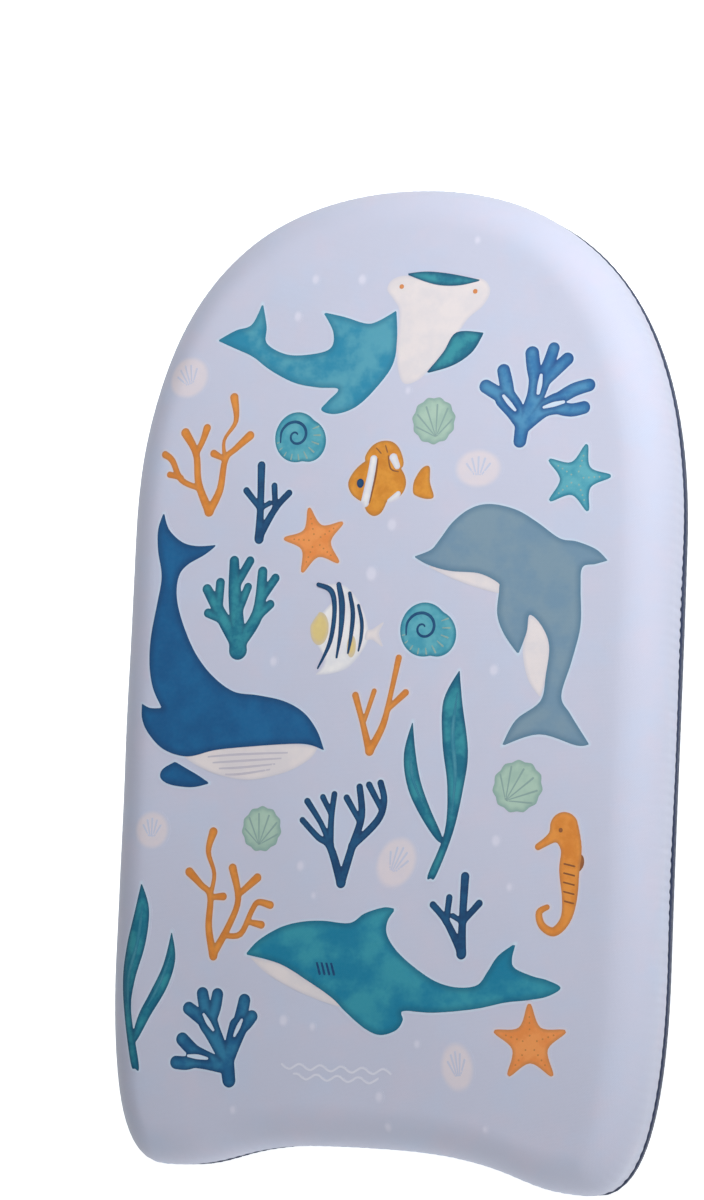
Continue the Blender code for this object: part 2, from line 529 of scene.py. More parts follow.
class Inks(Enum):
    """The inks of the print."""

    WHALE = PaintedInk(
        "ink_whale_blue", (0.003, 0.125, 0.32), (0.001, 0.095, 0.265), (0.002, 0.05, 0.165), 4.0, 45.0
    )
    SHARK = PaintedInk(
        "ink_shark_teal", (0.08, 0.35, 0.47), (0.016, 0.25, 0.41), (0.012, 0.17, 0.29), 3.4, 55.0
    )
    REEF_SHARK = PaintedInk(
        "ink_reef_teal", (0.03, 0.3, 0.4), (0.002, 0.205, 0.35), (0.002, 0.12, 0.215), 3.4, 50.0
    )
    DOLPHIN = PaintedInk(
        "ink_dolphin_grey", (0.2, 0.31, 0.4), (0.165, 0.285, 0.4), (0.08, 0.19, 0.3), 3.4, 50.0
    )
    CREAM = PaintedInk("ink_cream", (0.8, 0.74, 0.75), (0.74, 0.7, 0.73), (0.65, 0.63, 0.7), 1.6, 60.0)
    CREAM_LINE = PaintedInk(
        "ink_cream_line", (0.56, 0.52, 0.6), (0.55, 0.5, 0.58), (0.58, 0.55, 0.63), 0.6, 90.0
    )
    ORANGE = PaintedInk("ink_orange", (0.79, 0.3, 0.05), (0.7, 0.23, 0.03), (0.52, 0.2, 0.06), 1.4, 110.0)
    PEACH = PaintedInk(
        "ink_peach", (0.88, 0.33, 0.095), (0.82, 0.27, 0.065), (0.58, 0.23, 0.08), 1.8, 120.0
    )
    AMBER = PaintedInk(
        "ink_amber", (0.74, 0.31, 0.035), (0.64, 0.235, 0.02), (0.44, 0.19, 0.045), 1.3, 130.0
    )
    BROWN = PaintedInk("ink_brown", (0.36, 0.13, 0.035), (0.3, 0.1, 0.03), (0.24, 0.085, 0.03), 0.8, 120.0)
    TEAL = PaintedInk("ink_teal", (0.03, 0.29, 0.36), (0.003, 0.16, 0.26), (0.001, 0.06, 0.15), 2.1, 90.0)
    AQUA = PaintedInk("ink_aqua", (0.11, 0.42, 0.51), (0.055, 0.33, 0.45), (0.006, 0.15, 0.25), 1.7, 110.0)
    NAVY = PaintedInk(
        "ink_navy", (0.006, 0.09, 0.22), (0.003, 0.055, 0.16), (0.002, 0.035, 0.115), 0.9, 120.0
    )
    BLUE = PaintedInk(
        "ink_coral_blue", (0.07, 0.28, 0.5), (0.03, 0.185, 0.42), (0.003, 0.045, 0.22), 2.6, 90.0
    )
    DEEP_BLUE = PaintedInk(
        "ink_deep_blue", (0.025, 0.2, 0.37), (0.008, 0.12, 0.28), (0.001, 0.035, 0.13), 2.5, 90.0
    )
    SAGE = PaintedInk("ink_sage", (0.42, 0.59, 0.49), (0.36, 0.53, 0.45), (0.23, 0.37, 0.35), 2.6, 110.0)
    SAGE_LINE = PaintedInk(
        "ink_sage_line", (0.29, 0.43, 0.39), (0.27, 0.41, 0.38), (0.26, 0.39, 0.37), 0.4, 110.0
    )
    BUTTER = PaintedInk(
        "ink_butter", (0.76, 0.61, 0.25), (0.71, 0.56, 0.24), (0.64, 0.55, 0.42), 1.6, 110.0
    )
    FISH_WHITE = PaintedInk(
        "ink_fish_white", (0.86, 0.85, 0.86), (0.78, 0.78, 0.82), (0.62, 0.63, 0.73), 1.4, 80.0
    )
    HALO = SoftInk("ink_halo", (0.62, 0.79, 0.92), 1.7, 0.75)
    WARM_HALO = SoftInk("ink_warm_halo", (0.8, 0.69, 0.68), 1.7, 0.55)
    PALE_SHELL = SoftInk("ink_pale_shell", (0.78, 0.7, 0.74), 3.0, 0.9)
    PALE_MARK = SoftInk("ink_pale_mark", (0.64, 0.59, 0.69), 0.9, 0.32)
    BUBBLE = SoftInk("ink_bubble", (0.74, 0.74, 0.87), 2.0, 0.85)
    WAVE = SoftInk("ink_wave", (0.76, 0.77, 0.87), 0.5, 0.95)


@dataclass(frozen=True)
class NavyCloth:
    """Navy coated cloth, scuffed where it meets the floor."""

    name: str
    colour: Colour
    worn: Colour
    cloth: Cloth
    scuff_height: float

    def material(self) -> bpy.types.Material:
        """Build the finish.

        Returns:
            The material.
        """
        made, nodes, shader = new_material(self.name)
        cloth = self.cloth.dress(nodes, shader)
        place = nodes.place()
        low = nodes.ramp(nodes.split(place)[2], 0.0, self.scuff_height, (1.0, 0.0))
        rubbed = nodes.ramp(nodes.noise(place, 120.0, 5.0, 0.65), 0.50, 0.72)
        mottled = nodes.ramp(nodes.noise(cloth, 28.0, 4.0), 0.35, 0.7, (0.0, 0.35))
        share = nodes.math("ADD", nodes.math("MULTIPLY", low, rubbed), mottled, clamp=True)
        nodes.join(nodes.mix(share, self.colour, self.worn), shader["Base Color"])
        return made


@dataclass(frozen=True)
class ThreadFinish:
    """Twisted polyester sewing thread, with painted shade in the grooves of its twist."""

    colour: Colour = (0.60, 0.63, 0.76)
    # The darker colour is painted shade, laid in the grooves of the twist.
    shade: Colour = (0.42, 0.46, 0.62)

    def material(self) -> bpy.types.Material:
        """Build the finish.

        Returns:
            The material.
        """
        made, nodes, shader = new_material("pale_sewing_thread")
        place = nodes.place()
        twist = nodes.tree.nodes.new("ShaderNodeTexWave")
        twist.bands_direction = "DIAGONAL"
        twist.inputs["Scale"].default_value = 900.0
        twist.inputs["Distortion"].default_value = 1.5
        nodes.join(place, twist.inputs["Vector"])
        # Where the twist's bump is low, in its grooves, the colour goes to the darker one: painted shade.
        nodes.join(nodes.mix(twist.outputs["Fac"], self.shade, self.colour), shader["Base Color"])
        nodes.join(nodes.bump(twist.outputs["Fac"], 0.4, 0.0001), shader["Normal"])
        nodes.join(nodes.ramp(nodes.noise(place, 400.0), 0.2, 0.8, (0.45, 0.65)), shader["Roughness"])
        shader["Sheen Weight"].default_value = 0.2
        return made


@dataclass(frozen=True)
class FoamFinish:
    """Foam: fused beads in the core, or fine closed cells in the sheet, with painted shade in the grooves
    between them.
    """

    name: str
    colour: Colour
    # The darker colour is painted shade in the grooves between beads or cells.
    shade: Colour
    cells: float

    def material(self) -> bpy.types.Material:
        """Build the finish.

        Returns:
            The material.
        """
        made, nodes, shader = new_material(self.name)
        place = nodes.place()
        beads = nodes.tree.nodes.new("ShaderNodeTexVoronoi")
        beads.inputs["Scale"].default_value = self.cells
        nodes.join(place, beads.inputs["Vector"])
        groove = nodes.ramp(beads.outputs["Distance"], 0.25, 0.65)
        # The grooves between the beads or cells take the darker colour: painted shade.
        nodes.join(nodes.mix(groove, self.colour, self.shade), shader["Base Color"])
        nodes.join(nodes.bump(nodes.math("SUBTRACT", 1.0, groove), 0.5, 0.0004), shader["Normal"])
        nodes.join(nodes.ramp(groove, 0.0, 1.0, (0.75, 0.92)), shader["Roughness"])
        return made


# ---------------------------------------------------------------- the board's form


@dataclass(frozen=True)
class BoardOutline:
    """The board's outline, drawn at any inset.

    The right half is four curves: nose, side, tail corner and notch. A place along the
    whole outline is a number from 0 to 8, four for each half, clockwise from the nose.
    """

    half_length: float
    half_width: float
    nose_length: float = 0.163
    corner_length: float = 0.100
    tail_taper: float = 0.001
    corner_width: float = 0.029
    notch_depth: float = 0.014
    nose_fullness: float = 0.67
    shoulder_fullness: float = 0.64
    side_fullness: float = 0.40
    corner_side_fullness: float = 0.38
    corner_tail_fullness: float = 0.90
    lobe_fullness: float = 0.36
    notch_fullness: float = 0.74

    def curves(self, inset: float) -> np.ndarray:
        """Work out the right half's four curves.

        Args:
            inset: how far inside the edge they run, in metres.

        Returns:
            Four handles for each curve.
        """
        tail_side = self.half_width - self.tail_taper
        nose = np.array((0.0, self.half_length - inset))
        widest = np.array((self.half_width - inset, self.half_length - self.nose_length))
        corner = np.array((tail_side - inset, self.corner_length - self.half_length))
        lobe = np.array((tail_side - self.corner_width, inset - self.half_length))
        notch = np.array((0.0, inset - self.half_length + self.notch_depth))
        side = widest[1] - corner[1]
        across, along = np.eye(2)
        return np.array(
            (
                (
                    nose,
                    nose + across * self.nose_fullness * widest[0],
                    widest + along * self.shoulder_fullness * (nose[1] - widest[1]),
                    widest,
                ),
                (
                    widest,
                    widest - along * self.side_fullness * side,
                    corner + along * self.side_fullness * side,
                    corner,
                ),
                (
                    corner,
                    corner - along * self.corner_side_fullness * (corner[1] - lobe[1]),
                    lobe + across * self.corner_tail_fullness * (corner[0] - lobe[0]),
                    lobe,
                ),
                (
                    lobe,
                    lobe - across * self.lobe_fullness * lobe[0],
                    notch + across * self.notch_fullness * lobe[0],
                    notch,
                ),
            )
        )

    def at(self, places: np.ndarray, inset: float) -> np.ndarray:
        """Find points of the outline.

        Args:
            places: places round the outline, 0 to 8.
            inset: how far inside the edge, in metres.

        Returns:
            A point for each place.
        """
        folded = np.where(places > 4, 8 - places, places)
        number = np.minimum(folded.astype(int), 3)
        step = (folded - number)[:, None]
        handles = self.curves(inset)[number]
        back = 1 - step
        points = (
            back**3 * handles[:, 0]
            + 3 * back**2 * step * handles[:, 1]
            + 3 * back * step**2 * handles[:, 2]
            + step**3 * handles[:, 3]
        )
        points[places > 4, 0] *= -1
        return points

    def even_places(self, count: int) -> np.ndarray:
        """Space places evenly round the outline.

        Args:
            count: how many, an even number.

        Returns:
            The places, the same on both sides.
        """
        fine = np.linspace(0, 8, 8001)
        points = self.at(fine, 0.0)
        run = np.concatenate(([0], np.cumsum(np.linalg.norm(np.diff(points, axis=0), axis=1))))
        half = np.interp(np.arange(count // 2 + 1) * run[-1] / count, run, fine)
        return np.concatenate((half, 8 - half[-2:0:-1]))

    def outward(self, places: np.ndarray) -> np.ndarray:
        """Find the directions that point straight out.

        Args:
            places: evenly spaced places round the outline.

        Returns:
            A unit vector for each place.
        """
        points = self.at(places, 0.0)
        along = np.roll(points, -1, axis=0) - np.roll(points, 1, axis=0)
        out = np.stack((-along[:, 1], along[:, 0]), axis=1)
        return out / np.linalg.norm(out, axis=1, keepdims=True)


CREASE = math.radians(40)


def add_piece(name: str, bm: bmesh.types.BMesh, *materials: bpy.types.Material) -> bpy.types.Object:
    """Turn a finished bmesh into a smooth-shaded piece at the origin, its creases sharp.

    Args:
        name: the piece's name.
        bm: its mesh, which is freed.
        *materials: its finishes, in slot order.

    Returns:
        The piece.
    """
    mesh = bpy.data.meshes.new(name)
    bm.to_mesh(mesh)
    bm.free()
    mesh.shade_smooth()
    mesh.set_sharp_from_angle(angle=CREASE)
    for material in materials:
        mesh.materials.append(material)
    piece = bpy.data.objects.new(name, mesh)
    bpy.context.scene.collection.objects.link(piece)
    return piece


def woven_tube(rows: np.ndarray, cloth: np.ndarray) -> bmesh.types.BMesh:
    """Shape a grid into a surface that closes on itself round the board.

    Args:
        rows: the surface's points, row by row, each row once round the board.
        cloth: the cloth's own coordinates at the same points.

    Returns:
        The closed surface, with its normals outwards and a "cloth" attribute.
    """
    count, around = rows.shape[:2]
    bm = bmesh.new()
    threads = bm.verts.layers.float_vector.new("cloth")
    bmesh.ops.create_grid(bm, x_segments=around, y_segments=count - 1, size=1)
    wrapped = np.concatenate((rows, rows[:, :1]), axis=1).reshape(-1, 3)
    coordinates = np.concatenate((cloth, cloth[:, :1]), axis=1).reshape(-1, 2)
    for vert, point, thread in zip(bm.verts, wrapped, coordinates):
        vert.co = point
        vert[threads] = (thread[0], thread[1], 0.0)
    bmesh.ops.remove_doubles(bm, verts=bm.verts, dist=2e-6)
    bmesh.ops.recalc_face_normals(bm, faces=bm.faces)
    return bm


def ripple(points: np.ndarray, wavelengths: tuple[float, ...], seed: int) -> np.ndarray:
    """Draw smooth uneven waves over some points.

    Args:
        points: the points, flat.
        wavelengths: the waves' lengths, in metres.
        seed: the seed of the random directions.

    Returns:
        A value for each point, about -1 to 1.
    """
    draw = np.random.default_rng(seed)
    total = np.zeros(points.shape[:-1])
    for length in wavelengths:
        for _ in range(3):
            turn, shift = draw.uniform(0, 2 * math.pi, 2)
            way = np.array((math.cos(turn), math.sin(turn))) / length
            total += np.sin(2 * math.pi * points @ way + shift)
    return total / (3 * len(wavelengths)) ** 0.5 / 1.4


@dataclass
class Ring:
    """The stations that every lofted piece shares: so many to each stitch."""

    outline: BoardOutline
    stitches: int = 277
    per_stitch: int = 6
    spine_nose: float = 0.120
    spine_tail: float = 0.110

    def __post_init__(self) -> None:
        """Place the stations."""
        self.count = self.stitches * self.per_stitch + (self.stitches * self.per_stitch) % 2
        self.places = self.outline.even_places(self.count)
        self.out = self.outline.outward(self.places)
        self.phase = np.arange(self.count) * self.stitches / self.count

    def level(self, inset: float) -> np.ndarray:
        """Return the stations' points at an inset."""
        return self.outline.at(self.places, inset)

    def spine(self, edge: np.ndarray) -> np.ndarray:
        """Find where each station lands as it shrinks to the board's middle line.

        Args:
            edge: the stations' points.

        Returns:
            A point on the middle line for each station.
        """
        low = self.spine_tail - self.outline.half_length
        high = self.outline.half_length - self.spine_nose
        return np.stack((np.zeros(len(edge)), np.clip(edge[:, 1], low, high)), axis=1)

    def bend(self) -> np.ndarray:
        """Measure how sharply the outline turns at each station.

        Returns:
            The turn, per metre.
        """
        angle = np.unwrap(np.arctan2(self.out[:, 1], self.out[:, 0]))
        points = self.level(0.0)
        step = np.linalg.norm(np.roll(points, -1, axis=0) - points, axis=1)
        turn = np.abs((np.roll(angle, -1) - angle + math.pi) % (2 * math.pi) - math.pi)
        kernel = np.hanning(41) / np.hanning(41).sum()
        wide = np.concatenate((turn / step, turn / step, turn / step))
        return np.convolve(wide, kernel, "same")[self.count : 2 * self.count]

    def per_stitch_draw(self, seed: int) -> np.ndarray:
        """Return a random value for each stitch, smoothed over to its neighbours."""
        values = np.random.default_rng(seed).uniform(0, 1, self.stitches)
        return np.interp(self.phase, np.arange(self.stitches), values, period=self.stitches)


@dataclass
class DeckCover:
    """The printed cover: crowned deck, rounded rails and a puckered, turned-in edge."""

    ring: Ring
    top: float
    foot: float
    rail_width: float = 0.020
    rail_height: float = 0.022
    thickness: float = 0.0010
    lip: float = 0.0040
    crown: float = 0.0012
    pucker: float = 0.00050
    pucker_rise: float = 0.0060
    pucker_reach: float = 0.0160
    pucker_top: float = 0.0290
    corner_pucker: float = 0.020
    slack: float = 0.00022
    slack_room: float = 0.0006

    def profile(self, depth: float, steps: int) -> list[tuple[float, float, float]]:
        """Work out the rail's round.

        Args:
            depth: how far inside the cover's outer face.
            steps: the number of steps.

        Returns:
            The inset, the height and the angle at each step.
        """
        rows = []
        for step in range(steps + 1):
            angle = math.pi / 2 * step / steps
            inset = self.rail_width - (self.rail_width - depth) * math.sin(angle)
            height = self.top - self.rail_height + (self.rail_height - depth) * math.cos(angle)
            rows.append((inset, height, angle))
        return rows

    def gather(self, heights: np.ndarray) -> np.ndarray:
        """Work out how far the stitches draw the cloth in.

        Args:
            heights: the height of each row.

        Returns:
            The draw at each row and station, in metres.
        """
        ring = self.ring
        over = np.maximum(heights[:, None] - self.foot, 0)
        eased = 0.3 + 0.7 * np.clip(over / self.pucker_rise, 0, 1)
        draw = eased * (0.5 + 0.5 * np.cos(2 * math.pi * ring.phase))
        reach = self.pucker_reach * (0.5 + 1.0 * ring.per_stitch_draw(4))
        strength = (0.65 + 0.7 * ring.per_stitch_draw(7)) * (1 + self.corner_pucker * ring.bend())
        slack = np.clip((self.pucker_top - over) / self.pucker_top, 0, 1)
        return self.pucker * draw * strength * np.exp(-over / reach) * slack

    def shell(self, depth: float, deck: list[float], steps: int, wall: list[float]) -> tuple:
        """Loft one face of the cover, from the middle of the deck to its lower edge.

        Args:
            depth: how far inside the cover's outer face.
            deck: the deck rows, as shares of the way out to the rail.
            steps: the steps of the rail's round.
            wall: the heights of the rows below it.

        Returns:
            The rows' points, their cloth coordinates and their normals.
        """
        ring = self.ring
        edge = ring.level(self.rail_width)
        spine = ring.spine(edge)
        rows, cloth = [], []
        for share in deck:
            flat = spine + share * (edge - spine)
            height = self.top - depth + self.crown * (1 - share**2) ** 2
            rows.append(np.column_stack((flat, np.full(len(flat), height))))
            cloth.append(flat)
        run, last = 0.0, (self.rail_width, self.top - depth)
        turned = self.profile(depth, steps)[1:] + [(depth, height, math.pi / 2) for height in wall]
        for inset, height, angle in turned:
            run += math.dist(last, (inset, height))
            last = (inset, height)
            rows.append(np.column_stack((ring.level(inset), np.full(ring.count, height))))
            cloth.append(ring.level(self.rail_width - run))
        rows, cloth = np.array(rows), np.array(cloth)
        angles = np.array([0.0] * len(deck) + [angle for _, _, angle in turned])
        normal = np.concatenate(
            (
                np.sin(angles)[:, None, None] * ring.out[None],
                np.broadcast_to(np.cos(angles)[:, None, None], (len(angles), ring.count, 1)),
            ),
            axis=2,
        )
        return rows, cloth, normal

    def build(self) -> bpy.types.Object:
        """Build the cover and dress it.

        Returns:
            The cover.
        """
        deck = [0.0, 0.1, 0.2, 0.3, 0.4, 0.5, 0.6, 0.7, 0.78, 0.86, 0.92, 0.96, 1.0]
        wall_top = self.top - self.rail_height
        wall = list(np.linspace(wall_top, self.foot, 9)[1:])
        rows, cloth, normal = self.shell(0.0, deck, 14, wall)
        slack = ripple(cloth, (0.060, 0.100, 0.150), 3) * self.slack
        heights = rows[:, 0, 2]
        moved = slack - self.gather(heights)
        rows = rows + normal * moved[:, :, None]
        turned_up = self.foot + self.thickness
        inner_depth = self.thickness + self.slack_room
        inner, inner_cloth, _ = self.shell(inner_depth, [0.0, 0.3, 0.6, 1.0], 5, [turned_up])
        lip = []
        for inset, height in (
            (0.0012, self.foot - 0.0002),
            (self.lip, self.foot),
            (self.lip, turned_up),
        ):
            lip.append(np.column_stack((self.ring.level(inset), np.full(self.ring.count, height))))
        lip_cloth = [cloth[-1] for _ in lip]
        rows = np.concatenate((rows, lip, inner[::-1]))
        cloth = np.concatenate((cloth, lip_cloth, inner_cloth[::-1]))
        piece = add_piece("printed_deck_cover", woven_tube(rows, cloth), CoverFinish().material())
        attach(piece, BODY)
        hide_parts("deck_cover")
        return piece


@dataclass
class BaseCover:
    """The navy underside: a shallow tray of coated cloth."""

    ring: Ring
    edge: float
    corner: float = 0.0030
    thickness: float = 0.0015
    lip: float = 0.0042
    pucker: float = 0.00028

    def build(self) -> bpy.types.Object:
        """Build the underside and dress it.

        Returns:
            The underside.
        """
        ring = self.ring
        rows, cloth = [], []

        def level(inset: float, height: float, run: float) -> None:
            """Add a row round the board.

            Args:
                inset: how far inside the edge.
                height: how high.
                run: how far along the cloth.
            """
            rows.append(np.column_stack((ring.level(inset), np.full(ring.count, height))))
            cloth.append(ring.level(self.corner - run))

        def floor(height: float, shares: list[float]) -> None:
            """Add rows that close the tray's floor.

            Args:
                height: how high.
                shares: the rows, as shares of the way out to the corner.
            """
            rim = ring.level(self.corner)
            spine = ring.spine(ring.level(0.020))
            for share in shares:
                flat = spine + share * (rim - spine)
                rows.append(np.column_stack((flat, np.full(ring.count, height))))
                cloth.append(flat)

        floor(self.thickness, [0.0, 0.3, 0.7, 0.96])
        inside = self.corner - self.thickness
        for step in range(1, 4):
            angle = math.pi / 2 * step / 3
            level(self.corner - inside * math.sin(angle), self.corner - inside * math.cos(angle), 0.002)
        level(self.thickness, self.edge - self.thickness, 0.003)
        level(self.lip, self.edge - self.thickness, 0.003)
        level(self.lip, self.edge, 0.004)
        level(0.0008, self.edge, 0.0045)
        first_outer = len(rows)
        for height in np.linspace(self.edge - 0.0003, self.corner, 4):
            level(0.0, height, 0.0045 - (self.edge - height))
        for step in range(1, 7):
            angle = math.pi / 2 * step / 6
            inset = self.corner * (1 - math.cos(angle))
            level(inset, self.corner * (1 - math.sin(angle)), 0.003 - 0.0005 * step)
        wall_end = len(rows)
        floor(0.0, [0.97, 0.8, 0.6, 0.4, 0.2, 0.0])
        rows, cloth = np.array(rows), np.array(cloth)
        heights = rows[first_outer:wall_end, 0, 2]
        draw = 0.5 + 0.5 * np.cos(2 * math.pi * ring.phase + 0.6)
        fall = np.clip(heights / self.edge, 0, 1)[:, None] ** 2
        rows[first_outer:wall_end, :, :2] -= (self.pucker * draw * fall)[:, :, None] * ring.out
        coarse = Cloth(0.0009, 0.35, 0.0002, 0.52, 0.3)
        navy = NavyCloth(
            "navy_underside_cloth", (0.016, 0.030, 0.085), (0.060, 0.080, 0.150), coarse, 0.0025
        )
        piece = add_piece("navy_base_cover", woven_tube(rows, cloth), navy.material())
        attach(piece, BODY)
        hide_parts("base_cover")
        return piece


@dataclass
class SeamPiping:
    """The rolled edge between the cover and the underside, nipped at each stitch."""

    ring: Ring
    height: float
    radius: float = 0.0015
    inset: float = 0.0010
    sides: int = 12
    nip: float = 0.00013

    def build(self) -> bpy.types.Object:
        """Build the piping and dress it.

        Returns:
            The piping.
        """
        ring = self.ring
        slim = self.radius - self.nip * (0.5 + 0.5 * np.cos(2 * math.pi * ring.phase + 1.2))
        rows, cloth = [], []
        for side in range(self.sides + 1):
            turn = 2 * math.pi * (side % self.sides) / self.sides
            flat = ring.level(self.inset) + (slim * math.cos(turn))[:, None] * ring.out
            rows.append(np.column_stack((flat, self.height + slim * math.sin(turn))))
            cloth.append(np.column_stack((ring.phase * 0.0046, np.full(ring.count, side * 0.0008))))
        tape = Cloth(0.0006, 0.4, 0.0002, 0.58, 0.4)
        navy = NavyCloth(
            "navy_piping_tape", (0.020, 0.036, 0.095), (0.070, 0.090, 0.160), tape, 0.0055
        )
        tube = woven_tube(np.array(rows), np.array(cloth))
        piece = add_piece("rolled_seam_piping", tube, navy.material())
        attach(piece, BODY)
        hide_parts("seam_piping")
        return piece


@dataclass
class SeamStitching:
    """The single stitches in the ditch over the piping."""

    ring: Ring
    height: float
    length: float = 0.0034
    thickness: float = 0.0008
    inset: float = 0.0006

    def build(self) -> bpy.types.Object:
        """Build the stitches as one piece and dress it.

        Returns:
            The stitches.
        """
        outline = self.ring.outline
        fine = outline.even_places(self.ring.stitches * 2)
        points, out = outline.at(fine, self.inset), outline.outward(fine)
        bm = bmesh.new()
        for number in range(1, len(fine), 2):
            along = Vector((out[number][1], -out[number][0], 0.0))
            side = Vector((*out[number], 0.0))
            place = Matrix.Translation((*points[number], self.height))
            turn = Matrix((side, along, Vector((0, 0, 1)))).transposed().to_4x4()
            size = Matrix.Diagonal((self.thickness / 2, self.length / 2, self.thickness / 2, 1))
            # The sphere's poles go to the stitch's two ends.
            tip = Matrix.Rotation(math.pi / 2, 4, "X")
            bmesh.ops.create_uvsphere(
                bm, u_segments=6, v_segments=6, radius=1, matrix=place @ turn @ size @ tip
            )
        piece = add_piece("seam_stitches", bm, ThreadFinish().material())
        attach(piece, BODY)
        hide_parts("seam_stitching")
        return piece


# ---------------------------------------------------------------- drawing the print


class Shape(ABC):
    """A flat shape in millimetres that knows how deep inside it a point lies."""

    @abstractmethod
    def depth(self, at: np.ndarray) -> np.ndarray:
        """Return the distance from the edge, positive inside."""

    @abstractmethod
    def extent(self) -> np.ndarray:
        """Return the lowest and the highest corner."""


def edge_distance(at: np.ndarray, path: np.ndarray) -> np.ndarray:
    """Measure how far points are from a closed path.

    Args:
        at: the points.
        path: the path's points.

    Returns:
        A distance for each point.
    """
    start, end = path, np.roll(path, -1, axis=0)
    run = end - start
    size = np.maximum((run**2).sum(axis=1), 1e-12)
    best = np.full(len(at), np.inf)
    for one, way, square in zip(start, run, size):
        gap = at - one
        share = np.clip(gap @ way / square, 0, 1)
        best = np.minimum(best, ((gap - share[:, None] * way) ** 2).sum(axis=1))
    return np.sqrt(best)


def inside_path(at: np.ndarray, path: np.ndarray) -> np.ndarray:
    """Find the points that lie inside a closed path.

    Args:
        at: the points.
        path: the path's points.

    Returns:
        Whether each point lies inside.
    """
    start, end = path, np.roll(path, -1, axis=0)
    inside = np.zeros(len(at), bool)
    for (ax, ay), (bx, by) in zip(start, end):
        if ay == by:
            continue
        crosses = (ay > at[:, 1]) != (by > at[:, 1])
        inside ^= crosses & (at[:, 0] < (bx - ax) * (at[:, 1] - ay) / (by - ay) + ax)
    return inside


def smooth_path(points: tuple, closed: bool, steps: int = 6) -> np.ndarray:
    """Draw a smooth path through points. A point given twice is a sharp corner.

    Args:
        points: the points, with more columns if need be.
        closed: whether the path returns to its start.
        steps: the steps between two points.

    Returns:
        The fine path.
    """
    knots = np.array(points, float)
    count = len(knots)
    path = []
    for number in range(count if closed else count - 1):
        index = np.array((number - 1, number, number + 1, number + 2))
        before, start, end, after = knots[index % count if closed else np.clip(index, 0, count - 1)]
        if np.allclose(start[:2], end[:2]):
            continue
        for step in range(steps):
            t = step / steps
            path.append(
                0.5
                * (
                    2 * start
                    + (end - before) * t
                    + (2 * before - 5 * start + 4 * end - after) * t**2
                    + (3 * start - before - 3 * end + after) * t**3
                )
            )
    if not closed:
        path.append(knots[-1])
    return np.array(path)


@dataclass(frozen=True)
class Outlined(Shape):
    """A closed smooth outline through a few points."""

    points: tuple[Point, ...]

    def path(self) -> np.ndarray:
        """Return the outline as a fine path."""
        return smooth_path(self.points, True)

    def depth(self, at: np.ndarray) -> np.ndarray:
        """Return the distance from the outline, positive inside."""
        path = self.path()
        return np.where(inside_path(at, path), 1.0, -1.0) * edge_distance(at, path)

    def extent(self) -> np.ndarray:
        """Return the outline's box."""
        path = self.path()
        return np.array((path.min(axis=0), path.max(axis=0)))


@dataclass(frozen=True)
class Stroke(Shape):
    """A brush stroke: points with the brush's radius at each, (x, y, radius)."""

    points: tuple[tuple[float, float, float], ...]

    def path(self) -> np.ndarray:
        """Return the stroke as a fine path with radii."""
        return smooth_path(self.points, False, 5)

    def depth(self, at: np.ndarray) -> np.ndarray:
        """Measure the depth inside the brush's track.

        Args:
            at: the points.

        Returns:
            The distance from its edge, positive inside.
        """
        path = self.path()
        best = np.full(len(at), -np.inf)
        for start, end in zip(path[:-1], path[1:]):
            run = end[:2] - start[:2]
            gap = at - start[:2]
            share = np.clip(gap @ run / max(run @ run, 1e-12), 0, 1)
            far = np.linalg.norm(gap - share[:, None] * run, axis=1)
            best = np.maximum(best, start[2] + share * (end[2] - start[2]) - far)
        return best

    def extent(self) -> np.ndarray:
        """Measure the stroke's box.

        Returns:
            The lowest and the highest corner.
        """
        path = self.path()
        return np.array(
            (
                (path[:, :2] - path[:, 2:]).min(axis=0),
                (path[:, :2] + path[:, 2:]).max(axis=0),
            )
        )


@dataclass(frozen=True)
class Oval(Shape):
    """An ellipse, turned by some degrees."""

    centre: Point
    radii: Point
    turn: float = 0.0

    def depth(self, at: np.ndarray) -> np.ndarray:
        """Measure roughly the depth inside the ellipse.

        Args:
            at: the points.

        Returns:
            The distance from its edge, positive inside.
        """
        angle = math.radians(self.turn)
        gap = at - np.array(self.centre)
        spin = np.array(((math.cos(angle), -math.sin(angle)), (math.sin(angle), math.cos(angle))))
        round_one = (gap @ spin) / np.array(self.radii)
        return (1 - np.linalg.norm(round_one, axis=1)) * min(self.radii)

    def extent(self) -> np.ndarray:
        """Return the ellipse's box, with room for its turn."""
        reach = max(self.radii)
        return np.array((np.array(self.centre) - reach, np.array(self.centre) + reach))


@dataclass(frozen=True)
class Joined(Shape):
    """Several shapes as one, with soft inner corners."""

    parts: tuple[Shape, ...]
    soft: float = 0.8

    def depth(self, at: np.ndarray) -> np.ndarray:
        """Measure the depth in the joined shape.

        Args:
            at: the points.

        Returns:
            The distance from its edge, positive inside.
        """
        total = self.parts[0].depth(at)
        for part in self.parts[1:]:
            other = part.depth(at)
            near = np.clip(0.5 + 0.5 * (other - total) / self.soft, 0, 1)
            total = total + (other - total) * near + self.soft * near * (1 - near)
        return total

    def extent(self) -> np.ndarray:
        """Return the box round all the parts."""
        boxes = np.array([part.extent() for part in self.parts])
        return np.array((boxes[:, 0].min(axis=0), boxes[:, 1].max(axis=0)))


@dataclass(frozen=True)
class Within(Shape):
    """The part of a shape that lies inside another one."""

    shape: Shape
    limit: Shape

    def depth(self, at: np.ndarray) -> np.ndarray:
        """Return the depth in both shapes."""
        return np.minimum(self.shape.depth(at), self.limit.depth(at))

    def extent(self) -> np.ndarray:
        """Return the shape's box."""
        return self.shape.extent()


@dataclass(frozen=True)
class Without(Shape):
    """A shape with another one cut out of it."""

    shape: Shape
    hole: Shape

    def depth(self, at: np.ndarray) -> np.ndarray:
        """Return the depth in what is left."""
        return np.minimum(self.shape.depth(at), -self.hole.depth(at))

    def extent(self) -> np.ndarray:
        """Return the shape's box."""
        return self.shape.extent()


